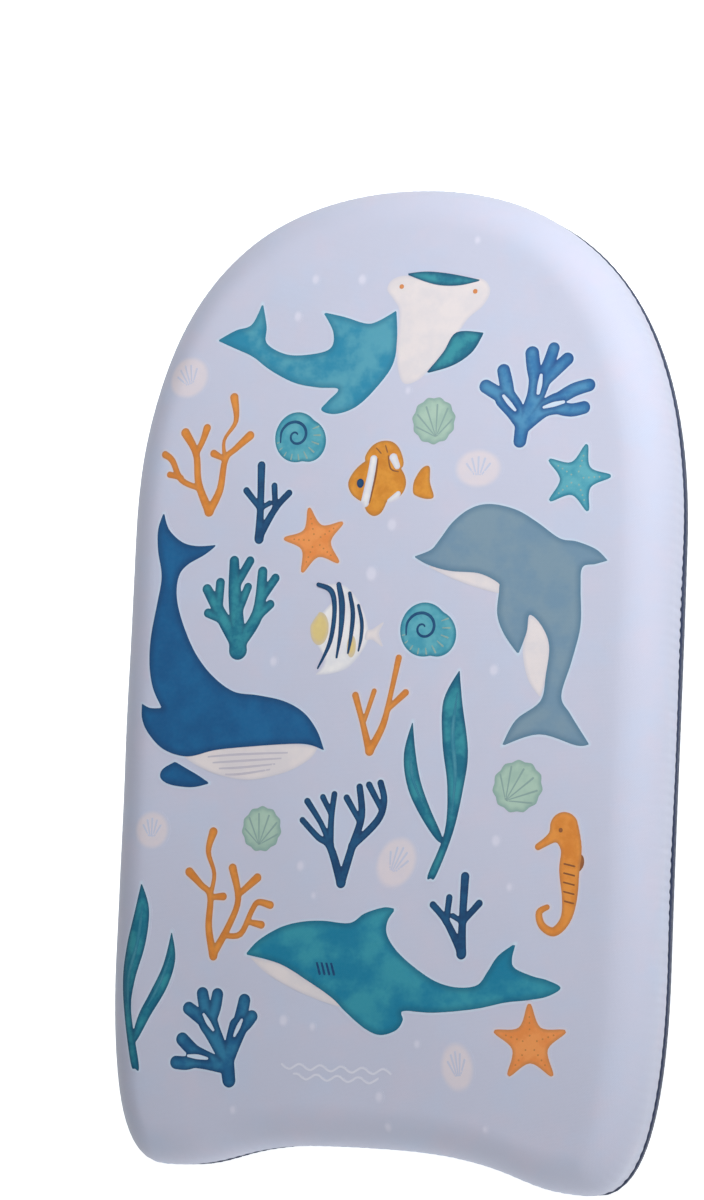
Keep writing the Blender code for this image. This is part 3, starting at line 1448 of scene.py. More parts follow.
@dataclass(frozen=True)
class Grown(Shape):
    """A shape made wider all round."""

    shape: Shape
    by: float

    def depth(self, at: np.ndarray) -> np.ndarray:
        """Return the depth in the wider shape."""
        return self.shape.depth(at) + self.by

    def extent(self) -> np.ndarray:
        """Return the wider box."""
        return self.shape.extent() + np.array(((-self.by,), (self.by,)))


def star(radius: float, waist: float, start: float, arms: int = 5) -> Outlined:
    """Draw a starfish's outline: round-tipped arms about its centre.

    Args:
        radius: the arms' reach.
        waist: the reach between two arms.
        start: the first arm's direction, in degrees.
        arms: how many arms.

    Returns:
        The outline.
    """
    points = []
    for arm in range(arms):
        for turn, reach in ((-4, 0.95), (0, 1.0), (4, 0.95)):
            angle = math.radians(start + arm * 360 / arms + turn)
            points.append((radius * reach * math.cos(angle), radius * reach * math.sin(angle)))
        angle = math.radians(start + (arm + 0.5) * 360 / arms)
        points += [(waist * math.cos(angle), waist * math.sin(angle))]
    return Outlined(tuple(points))


def spiral(turns: float, reach: float, start: float, width: float) -> Stroke:
    """Draw a line that winds out from its centre, thin at both ends.

    Args:
        turns: how many turns.
        reach: its outer radius.
        start: the direction it starts in, in degrees.
        width: the line's rough radius.

    Returns:
        The stroke.
    """
    points = []
    steps = int(turns * 10)
    for step in range(steps + 1):
        share = step / steps
        angle = math.radians(start) + turns * 2 * math.pi * share
        radius = reach * (0.12 + 0.88 * share**1.2)
        thick = width * (0.6 + 0.8 * share) * (1 - 0.6 * share**8)
        points.append((radius * math.cos(angle), radius * math.sin(angle), thick))
    return Stroke(tuple(points))


# ---------------------------------------------------------------- printing it


@dataclass
class Press:
    """Cuts shapes out of a fine grid and lays them on the cover."""

    cover: bpy.types.Object
    first_lift: float = 0.00004
    layer_lift: float = 0.00004
    sunk: float = 0.00004

    def __post_init__(self) -> None:
        """Prepare the cover for finding its height."""
        mesh = self.cover.data
        points = np.empty(len(mesh.vertices) * 3)
        mesh.vertices.foreach_get("co", points)
        faces = [tuple(face.vertices) for face in mesh.polygons]
        self.tree = BVHTree.FromPolygons(points.reshape(-1, 3).tolist(), faces)

    def cut(self, bm: bmesh.types.BMesh, shape: Shape, pitch: float) -> list[bmesh.types.BMVert]:
        """Cut a shape out of a grid, in millimetres.

        Args:
            bm: the mesh that takes the cut grid.
            shape: the shape to cut.
            pitch: the grid's spacing.

        Returns:
            The cut piece's points, with their depth in the "rim" layer.
        """
        rim = bm.verts.layers.float["rim"]
        low, high = shape.extent() + np.array(((-pitch,), (pitch,)))
        cells = np.ceil((high - low) / pitch).astype(int)
        verts = bmesh.ops.create_grid(
            bm, x_segments=int(cells[0]), y_segments=int(cells[1]), size=0.5
        )["verts"]
        flat = np.array([vert.co[:2] for vert in verts])
        flat = low + (flat + 0.5) * cells * pitch
        depth = shape.depth(flat)
        for vert, point, inside in zip(verts, flat, depth):
            vert.co = (*point, 0.0)
            vert[rim] = inside
        faces = {face for vert in verts for face in vert.link_faces}
        outside = [face for face in faces if sum(vert[rim] for vert in face.verts) <= 0]
        bmesh.ops.delete(bm, geom=outside, context="FACES")
        kept = [vert for vert in verts if vert.is_valid]
        rims = [vert for vert in kept if vert.is_boundary]
        if rims:
            self.trim(shape, rims, pitch, rim)
        return kept

    def trim(self, shape: Shape, rims: list, pitch: float, rim: object) -> None:
        """Move the points on a cut piece's border onto the shape's own edge.

        Args:
            shape: the shape.
            rims: the points on the border.
            pitch: the grid's spacing.
            rim: the layer that holds the depth.
        """
        at = np.array([vert.co[:2] for vert in rims])
        nudge = 0.02
        for _ in range(3):
            depth = shape.depth(at)
            slope = np.stack(
                [
                    (shape.depth(at + way) - shape.depth(at - way)) / (2 * nudge)
                    for way in np.eye(2) * nudge
                ],
                axis=1,
            )
            step = -depth[:, None] * slope / np.maximum((slope**2).sum(axis=1), 0.2)[:, None]
            size = np.maximum(np.linalg.norm(step, axis=1, keepdims=True), 1e-9)
            at = at + step * np.minimum(1, 0.8 * pitch / size)
        for vert, point in zip(rims, at):
            vert.co = (*point, 0.0)
            vert[rim] = 0.0

    def lay(self, bm: bmesh.types.BMesh, verts: list, place: Matrix, layer: float) -> None:
        """Lay a cut piece on the cover, a little higher for each layer.

        Args:
            bm: the mesh that holds it.
            verts: the piece's points.
            place: from its millimetres to its place on the deck.
            layer: how many layers lie under it.
        """
        threads = bm.verts.layers.float_vector["cloth"]
        sink = bm.verts.layers.float_vector["sink"]
        lift = self.first_lift + layer * self.layer_lift
        for vert in verts:
            over = place @ vert.co
            hit, normal, _, _ = self.tree.ray_cast(Vector((over.x, over.y, 0.1)), Vector((0, 0, -1)))
            if hit is None:
                hit, normal, _, _ = self.tree.find_nearest(Vector((over.x, over.y, 0.02)))
            vert[threads] = (over.x, over.y, 0.0)
            vert[sink] = normal * (lift + self.sunk)
            vert.co = hit + normal * lift

    def close(self, bm: bmesh.types.BMesh) -> None:
        """Give the laid pieces their underside and their edge.

        Args:
            bm: the mesh that holds them.
        """
        sink = bm.verts.layers.float_vector["sink"]
        made = bmesh.ops.extrude_face_region(bm, geom=list(bm.faces))["geom"]
        for vert in made:
            if isinstance(vert, bmesh.types.BMVert):
                vert.co -= vert[sink]
        bmesh.ops.recalc_face_normals(bm, faces=bm.faces)
        bm.verts.layers.float_vector.remove(sink)


@dataclass
class Motif:
    """One printed picture: its place on the deck and its painted layers."""

    name: str
    place: Point
    layers: tuple[tuple[Shape, Inks], ...]
    pitch: float = 0.45
    turn: float = 0.0
    halo: Shape | None = None
    halo_ink: Inks = Inks.HALO
    halo_width: float = 1.5

    def build(self, press: Press, rise: float = 0.0) -> bpy.types.Object:
        """Print the motif on the cover.

        Args:
            press: the press that cuts and lays the layers.
            rise: a part of a layer that keeps it apart from its neighbours.

        Returns:
            The printed motif.
        """
        layers = list(self.layers)
        if self.halo is not None:
            layers.insert(0, (Grown(self.halo, self.halo_width), self.halo_ink))
        bm = bmesh.new()
        bm.verts.layers.float.new("rim")
        bm.verts.layers.float_vector.new("cloth")
        bm.verts.layers.float_vector.new("sink")
        place = (
            Matrix.Translation((self.place[0] * MM, self.place[1] * MM, 0))
            @ Matrix.Rotation(math.radians(self.turn), 4, "Z")
            @ Matrix.Scale(MM, 4)
        )
        inks: list[Inks] = []
        level, last = -1, None
        for shape, ink in layers:
            # Shapes in the same ink, one after the other, don't overlap and share a level.
            level, last = level + (ink is not last), ink
            if ink not in inks:
                inks.append(ink)
            coarse = ink is self.halo_ink
            verts = press.cut(bm, shape, self.pitch * (1.5 if coarse else 1.0))
            for face in {face for vert in verts for face in vert.link_faces}:
                face.material_index = inks.index(ink)
            press.lay(bm, verts, place, level + rise)
        press.close(bm)
        piece = add_piece(self.name, bm, *(ink.value.material() for ink in inks))
        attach(piece, BODY)
        return piece


# ---------------------------------------------------------------- the sea life


def whale() -> Motif:
    """Draw the blue whale, diving in a curve with its flukes up.

    Returns:
        The motif.
    """
    body = Outlined(
        (
            (-40, 63), (-40, 63), (-37, 55), (-30, 49), (-22, 47), (-12, 47.5), (-12, 47.5),
            (-18, 43), (-27, 38), (-31, 32), (-31, 22), (-27, 10), (-20, -3), (-11, -13),
            (0, -20), (12, -21.5), (25, -24), (35, -29), (42, -37), (46, -46), (46, -46),
            (38, -43.5), (27, -43.5), (3, -45.5), (-9, -47), (-22, -50), (-34, -47),
            (-42, -40), (-46, -33), (-46.5, -26), (-46.5, -26), (-42, -28), (-36, -28),
            (-36, -28), (-41, -19), (-43.5, -8), (-43.5, 5), (-41, 21), (-39.5, 33),
            (-42, 45), (-42.5, 55),
        )
    )
    belly = Outlined(
        (
            (-24, -50), (-24, -50), (-9, -46), (10, -44), (28, -43), (43, -44.5), (43, -44.5),
            (39, -50), (28, -56), (10, -60), (-6, -58), (-17, -54),
        )
    )
    flipper = Outlined(
        (
            (-28, -52.5), (-28, -52.5), (-34, -56), (-35, -60), (-30, -63), (-19, -64),
            (-10, -62), (-10, -62), (-16, -58.5), (-22, -55.5),
        )
    )
    grooves = tuple(
        (
            Stroke(
                (
                    (-17 + 4 * row, -50.5 - 2.4 * row, 0.25),
                    (5, -48.5 - 3.0 * row, 0.55),
                    (37 - 4 * row, -47.0 - 2.4 * row, 0.25),
                )
            ),
            Inks.CREAM_LINE,
        )
        for row in range(4)
    )
    layers = ((belly, Inks.CREAM), *grooves, (body, Inks.WHALE), (flipper, Inks.WHALE))
    return Motif("print_whale", (-69, 11), layers, 0.7, halo=Joined((body, flipper)))


def leaping_dolphin() -> Motif:
    """Draw the grey dolphin, arched over with its flukes down.

    Returns:
        The motif.
    """
    body = Outlined(
        (
            (-45, 35.5), (-45, 35.5), (-37, 38.5), (-33, 43), (-27, 51), (-19, 57), (-10, 59),
            (2, 56.5), (12, 51), (23, 43.5), (31, 42), (40, 38.5), (45.5, 33.5), (45.5, 33.5),
            (40, 32), (34, 30.5), (33.5, 21), (34, 5), (30.5, -11), (26.5, -26), (31, -34),
            (40, -47), (40, -47), (34, -47.5), (17, -43), (0, -48.5), (0, -48.5), (6, -37),
            (17, -28.5), (19, -17), (20, -4), (16, 5), (10.5, 9.5), (9.5, 2), (6, -8), (6, -8),
            (-1, 1), (-4.5, 10), (-4, 21), (-5, 24), (-14, 28), (-27, 29), (-37, 31.5),
        )
    )
    chin = Outlined(
        (
            (-40, 32), (-40, 32), (-27, 29.5), (-14, 28.5), (-4, 24.5), (-4, 19), (-4, 19),
            (-14, 21.5), (-27, 26),
        )
    )
    belly = Outlined(
        (
            (10, 10), (10, 10), (16, 6), (20.5, -4), (19.5, -17), (17, -27), (17, -27),
            (11, -19), (8, -7), (9, 3),
        )
    )
    layers = ((chin, Inks.CREAM), (belly, Inks.CREAM), (body, Inks.DOLPHIN))
    return Motif("print_leaping_dolphin", (61, 17), layers, 0.7, halo=body)


def reef_shark() -> Motif:
    """Draw the teal shark that swims along the tail.

    Returns:
        The motif.
    """
    body = Outlined(
        (
            (-74, 3.5), (-74, 3.5), (-68, 10), (-58, 16), (-48, 19), (-37, 20), (-24, 19.5),
            (-17, 24), (-8, 27), (-2.5, 26.5), (-2.5, 26.5), (-6, 21), (-6, 15), (-1, 8),
            (8, 1), (18, -4.5), (28, -6.5), (37, -5), (41.5, 1), (46, 8), (54, 14), (54, 14),
            (52.5, 7), (54, 3), (62, 0), (69, -1.5), (75, -4.5), (69, -8.5), (60, -10.5),
            (50, -12), (36, -15.5), (17, -18), (3, -18), (3, -22), (0, -26.5), (-7.5, -29),
            (-15, -26.5), (-24, -20), (-31, -14), (-42, -7.5), (-57, 0),
        )
    )
    belly = Outlined(
        (
            (-72, 2.5), (-72, 2.5), (-57, 0), (-42, -7.5), (-30, -14), (-26, -18), (-26, -18),
            (-38, -15), (-52, -10), (-64, -4),
        )
    )
    gills = tuple(
        (Stroke(((-39 + 2.3 * row, 1.5, 0.5), (-37.4 + 2.3 * row, -3.5, 0.6))), Inks.DEEP_BLUE)
        for row in range(4)
    )
    layers = ((belly, Inks.CREAM), (body, Inks.REEF_SHARK), *gills)
    return Motif("print_reef_shark", (17, -131), layers, 0.7, halo=body)


def broad_headed_shark() -> Motif:
    """Draw the teal shark with a broad cream head.

    Returns:
        The motif.
    """
    body = Outlined(
        (
            (-66, 4), (-66, 4), (-57, 8.5), (-49, 11), (-44, 21), (-44, 21), (-41.5, 10),
            (-41, 2), (-31, -3.5), (-19, -4), (-9, -1.5), (-8, 6), (-13.5, 15.5), (-13.5, 15.5),
            (-3, 13), (8, 9.5), (14, 10.5), (22.5, 15), (22.5, 15), (23.5, 2), (22, -10),
            (14, -21), (5, -29), (-5, -32), (-12, -30), (-9, -26), (-4, -20.5), (-14, -19.5),
            (-26, -17), (-38, -11), (-48, -4), (-57, 0),
        )
    )
    head = Outlined(
        (
            (27, 31), (20, 29.5), (17.5, 25), (21, 20), (24, 14), (23.5, -4), (27, -18),
            (35, -17), (44, -8), (51, 1), (57, 10), (64, 16), (67, 23), (62, 28.5), (50, 26),
            (38, 28),
        )
    )
    brow = Outlined(
        (
            (26, 31.8), (26, 31.8), (36, 32.5), (48, 31), (63, 27.5), (63, 27.5), (52, 25.5),
            (40, 26.5),
        )
    )
    fin = Outlined(((38, -14.5), (38, -14.5), (46, -5), (52, 4), (65, 3.5), (65, 3.5), (60, -5), (51, -11)))
    eyes = tuple((Oval(centre, (1.1, 1.1)), Inks.PEACH) for centre in ((24.5, 26), (60, 22.5)))
    layers = ((head, Inks.CREAM), (body, Inks.SHARK), (brow, Inks.TEAL), (fin, Inks.TEAL), *eyes)
    return Motif("print_broad_headed_shark", (-20, 150), layers, 0.7, halo=Joined((body, fin)))


def clownfish() -> Motif:
    """Draw the orange fish with white bands.

    Returns:
        The motif.
    """
    trunk = Outlined(
        (
            (-21, -3), (-18, 3), (-12, 7.5), (-4, 9), (3, 5), (7, -2), (5, -8.5), (-3, -12),
            (-12, -12), (-18.5, -8.5),
        )
    )
    back_fin = Outlined(((-13, 7), (-11, 13), (-6, 16), (0, 15.5), (4, 11), (5, 4), (-4, 2)))
    low_fin = Outlined(((-12, -9), (-12, -15), (-8, -18), (-4, -16), (-2.5, -10)))
    body = Joined((trunk, back_fin, low_fin), 0.6)
    tail = Outlined(
        (
            (10.5, -7), (11, -2), (14.5, 3.5), (18, 4), (18.5, -3), (20.5, -9.5), (17, -10.5),
            (12, -9),
        )
    )
    white = (
        Stroke(((-9.0, 8, 1.7), (-10.0, 0, 1.9), (-12.5, -12, 2.0))),
        Stroke(((0.5, 8.5, 1.9), (2.5, 4.5, 1.4))),
        Stroke(((0, -11.5, 1.7), (3.5, -8, 1.2))),
    )
    lines = (
        Stroke(((-7.0, 8, 0.3), (-7.8, 0, 0.45), (-10.2, -12, 0.3))),
        Stroke(((-2.0, 9.5, 0.25), (-0.6, 3.5, 0.35), (3.2, 2, 0.25))),
        Stroke(((-8, 13, 0.25), (-5.5, 10.5, 0.3))),
        Stroke(((-3.5, 14, 0.25), (-2.5, 11, 0.3))),
    )
    layers = (
        (body, Inks.AMBER),
        (tail, Inks.AMBER),
        *((Within(band, Grown(body, 0.4)), Inks.FISH_WHITE) for band in white),
        *((Within(line, body), Inks.BROWN) for line in lines),
        (Oval((-15.0, -3.0), (1.7, 2.1)), Inks.NAVY),
    )
    halo = Joined((body, tail))
    return Motif("print_clownfish", (4, 89), layers, 0.35, halo=halo, halo_ink=Inks.WARM_HALO)


def angelfish() -> Motif:
    """Draw the pale striped fish with swept fins.

    Returns:
        The motif.
    """
    body = Outlined(
        (
            (-15.5, -1), (-11, 8), (-6, 15), (-13, 21), (-13, 21), (-2, 21), (5, 15.5),
            (10, 7), (12, -3), (8, -11), (2, -17), (-6, -19.5), (-13, -20), (-13, -20), (-9, -13),
        )
    )
    stripes = (
        Stroke(((-13.5, 21, 1.0), (-7, 18, 1.3), (-5, 9, 1.1), (-6.5, -5, 1.0), (-12, -17, 0.4))),
        Stroke(((-3.5, 21, 1.2), (-1.5, 12, 1.5), (-1.5, 0, 1.1), (-3, -12, 0.5))),
        Stroke(((2, 17, 0.9), (4, 8, 1.1), (3.5, -3, 0.9), (2.5, -10, 0.5))),
        Stroke(((6.5, 11.5, 0.7), (8.5, 4, 0.9), (8.5, -3, 0.8), (7.5, -9, 0.4))),
    )
    cheek = Oval((-12, 1), (4.5, 7.5))
    glow = Oval((4, -7), (2.2, 5))
    tail = Outlined(((11, 0), (14, 1), (19, 4), (17, -1), (19, -7), (14, -4), (10.5, -4)))
    layers = (
        (body, Inks.FISH_WHITE),
        (tail, Inks.CREAM),
        (Within(cheek, Grown(body, 1.5)), Inks.BUTTER),
        (Within(glow, body), Inks.BUTTER),
        *((stripe, Inks.NAVY) for stripe in stripes),
    )
    return Motif("print_angelfish", (-16, 19), layers, 0.35)


def seahorse() -> Motif:
    """Draw the orange seahorse with its tail curled under.

    Returns:
        The motif.
    """
    body = Joined(
        (
            Stroke(
                (
                    (2, 22, 6.4), (5.5, 13, 4.8), (5, 3, 4.6), (5.5, -9, 3.4), (4, -18, 2.4),
                    (-1, -23.5, 2.0), (-6.5, -21, 1.7), (-8, -15.5, 1.5), (-4.5, -13, 1.2),
                )
            ),
            Stroke(((-1, 19, 3.2), (-5, 16, 2.0), (-9.5, 13, 1.5))),
        ),
        1.5,
    )
    fin = Oval((8.5, 6.5), (3.0, 4.2), -15)
    ribs = tuple(
        (Stroke(((2.6, 6 - 4 * row, 0.35), (7.4, 5 - 4 * row, 0.35))), Inks.BROWN) for row in range(5)
    )
    layers = (
        (fin, Inks.BROWN),
        (body, Inks.ORANGE),
        *((Within(rib, Grown(body, -0.8)), ink) for rib, ink in ribs),
        (Oval((0.5, 20.5), (0.9, 1.0)), Inks.BROWN),
    )
    halo = Joined((body, fin))
    return Motif("print_seahorse", (89, -88), layers, 0.35, halo=halo, halo_ink=Inks.WARM_HALO)


def starfish(name: str, place: Point, start: float, radius: float, ink: Inks) -> Motif:
    """Draw a starfish with a dotted ridge along each arm.

    Args:
        name: the piece's name.
        place: where it is printed, in millimetres.
        start: the first arm's direction, in degrees.
        radius: the arms' reach.
        ink: its ink.

    Returns:
        The motif.
    """
    outer = star(radius, radius * 0.50, start)
    dots = []
    for arm in range(5):
        angle = math.radians(start + arm * 72)
        for step in (0.2, 0.36, 0.52, 0.67):
            reach = radius * step
            dots.append(Oval((reach * math.cos(angle), reach * math.sin(angle)), (0.42, 0.42)))
    cool = ink is Inks.AQUA
    layers = ((outer, ink), *((dot, Inks.SAGE if cool else Inks.ORANGE) for dot in dots))
    halo_ink = Inks.HALO if cool else Inks.WARM_HALO
    return Motif(name, place, layers, 0.4, halo=outer, halo_ink=halo_ink)


def branch_coral(name: str, place: Point, ink: Inks, strokes: tuple, stoutness: float = 1.0) -> Motif:
    """Return a branching coral from its brush strokes.

    Args:
        name: the piece's name.
        place: where it is printed, in millimetres.
        ink: the coral's ink.
        strokes: the branches.
        stoutness: what the branches' radii are multiplied by.

    Returns:
        The printed coral.
    """
    branches = (Stroke(tuple((x, y, r * stoutness) for x, y, r in stroke)) for stroke in strokes)
    whole = Joined(tuple(branches))
    halo_ink = Inks.WARM_HALO if ink is Inks.ORANGE else Inks.HALO
    return Motif(name, place, ((whole, ink),), 0.4, halo=whole, halo_ink=halo_ink)


def spiral_shell(name: str, place: Point, radius: float, start: float) -> Motif:
    """Return a coiled shell with a spiral line and ribs on its outer whorl.

    Args:
        name: the piece's name.
        place: where it is printed, in millimetres.
        radius: the coil's radius.
        start: the direction in which the coil begins, in degrees.

    Returns:
        The printed shell.
    """
    coil = Oval((-radius * 0.12, radius * 0.06), (radius * 0.88, radius * 0.94))
    mouth = Oval((radius * 0.34, -radius * 0.08), (radius * 0.72, radius * 0.80), 15)
    whole = Joined((coil, mouth), 0.6)
    centre = np.array((-radius * 0.16, radius * 0.12))
    line = spiral(1.45, radius * 0.66, start, 0.62)
    coiled = Stroke(tuple((x + centre[0], y + centre[1], r) for x, y, r in line.points))
    ribs = []
    for step in range(10):
        angle = math.radians(start + 160 + 20 * step)
        way = np.array((math.cos(angle), math.sin(angle)))
        low, high = centre + way * radius * 0.70, centre + way * radius * 0.98
        ribs.append(Stroke(((*low, 0.22), (*high, 0.42))))
    inside = Grown(whole, -0.7)
    ribs = ((Within(rib, inside), Inks.SAGE) for rib in ribs)
    layers = ((whole, Inks.AQUA), (coiled, Inks.DEEP_BLUE), *ribs)
    return Motif(name, place, layers, 0.35, halo=whole)


def fan_shell(name: str, place: Point, radii: Point, turn: float) -> Motif:
    """Return a sage-green shell with a scalloped edge and ribs that spread from its hinge.

    Args:
        name: the piece's name.
        place: where it is printed, in millimetres.
        radii: half of its width and half of its height.
        turn: the direction of the hinge, in degrees from straight down.

    Returns:
        The printed shell.
    """
    edge = []
    for step in range(44):
        angle = 2 * math.pi * step / 44
        wave = 1 + 0.035 * math.cos(11 * angle)
        edge.append((radii[0] * wave * math.cos(angle), radii[1] * wave * math.sin(angle)))
    whole = Outlined(tuple(edge))
    hinge = (0.0, -radii[1] * 0.72)
    ribs = []
    for degrees in range(35, 146, 22):
        angle = math.radians(degrees)
        reach = radii[1] * (0.95 + 0.45 * math.sin(angle))
        tip = (reach * math.cos(angle) * radii[0] / radii[1], hinge[1] + reach * math.sin(angle))
        ribs.append((Within(Stroke(((*hinge, 0.2), (*tip, 0.45))), Grown(whole, -1.0)), Inks.SAGE_LINE))
    return Motif(name, place, ((whole, Inks.SAGE), *ribs), 0.35, turn=turn)


def pale_shell(name: str, place: Point, radii: Point, turn: float) -> Motif:
    """Draw a faint shell that fades into the ground, with a few soft rays.

    Args:
        name: the piece's name.
        place: where it is printed, in millimetres.
        radii: half of its width and half of its height.
        turn: how far it is turned, in degrees.

    Returns:
        The motif.
    """
    whole = Oval((0, 0), radii)
    rays = []
    for degrees in range(40, 141, 25):
        angle = math.radians(degrees)
        start = (radii[0] * 0.15 * math.cos(angle), -radii[1] * 0.35, 0.3)
        end = (radii[0] * 0.6 * math.cos(angle), radii[1] * (-0.35 + 0.9 * math.sin(angle)), 0.5)
        rays.append((Stroke((start, end)), Inks.PALE_MARK))
    return Motif(name, place, ((whole, Inks.PALE_SHELL), *rays), 0.6, turn=turn)


def seaweed(name: str, place: Point, blades: tuple, vein: tuple) -> Motif:
    """Draw long seaweed blades with a pale vein in each.

    Args:
        name: the piece's name.
        place: where it is printed, in millimetres.
        blades: the blades' outlines.
        vein: the veins' strokes.

    Returns:
        The motif.
    """
    whole = Joined(tuple(Outlined(points) for points in blades))
    veins = tuple((Stroke(points), Inks.AQUA) for points in vein)
    return Motif(name, place, ((whole, Inks.TEAL), *veins), 0.5, halo=whole)


def bubbles() -> Motif:
    """Draw the faint bubbles scattered between the pictures.

    Returns:
        The motif.
    """
    spots = (
        (-38, 181, 2.6), (-15, 180, 2.8), (-46, 164, 2.6), (-4, 45, 3.4), (-50, 5, 2.6),
        (5, 67, 3.0), (56, 2, 2.8), (-32, -87, 2.6), (-25, -100, 2.0), (-37, -156, 2.8),
        (-23, -158, 2.2), (60, -73, 2.8), (67, -93, 2.2), (10, -187, 2.6), (27, -163, 2.2),
        (10, 128, 2.2), (-96, 55, 2.0), (-2, -112, 2.0), (-96, -44, 2.2), (14, -200, 2.4),
        (60, -198, 2.0), (-60, -197, 2.2), (40, 196, 2.2),
    )
    layers = tuple((Oval((x, y), (r, r * 1.25)), Inks.BUBBLE) for x, y, r in spots)
    return Motif("print_bubbles", (0, 0), layers, 0.6)


def wave_mark() -> Motif:
    """Draw the pale waves printed near the tail.

    Returns:
        The motif.
    """
    rows = []
    for row, (half, rise) in enumerate(((26, 0.0), (20, -4.2))):
        points = []
        for step in range(int(half) + 1):
            along = -half + 2 * step
            points.append((along, rise + 1.2 * math.sin(along * math.pi / 5 + row), 0.7))
        rows.append((Stroke(tuple(points)), Inks.WAVE))
    return Motif("print_waves", (-11, -176), tuple(rows), 0.35)


def finger(name: str, place: Point, ink: Inks, strokes: tuple, slots: tuple) -> Motif:
    """Return a coral with stout webbed fingers and long slots in its webs.

    Args:
        name: the piece's name.
        place: where it is printed, in millimetres.
        ink: the coral's ink.
        strokes: the trunk, the webs and the fingers.
        slots: the slots through which the ground shows.

    Returns:
        The printed coral.
    """
    whole = Joined(tuple(Stroke(stroke) for stroke in strokes), 0.5)
    gaps = Joined(tuple(Stroke(slot) for slot in slots), 0.2)
    return Motif(name, place, ((Without(whole, gaps), ink),), 0.35, halo=whole)


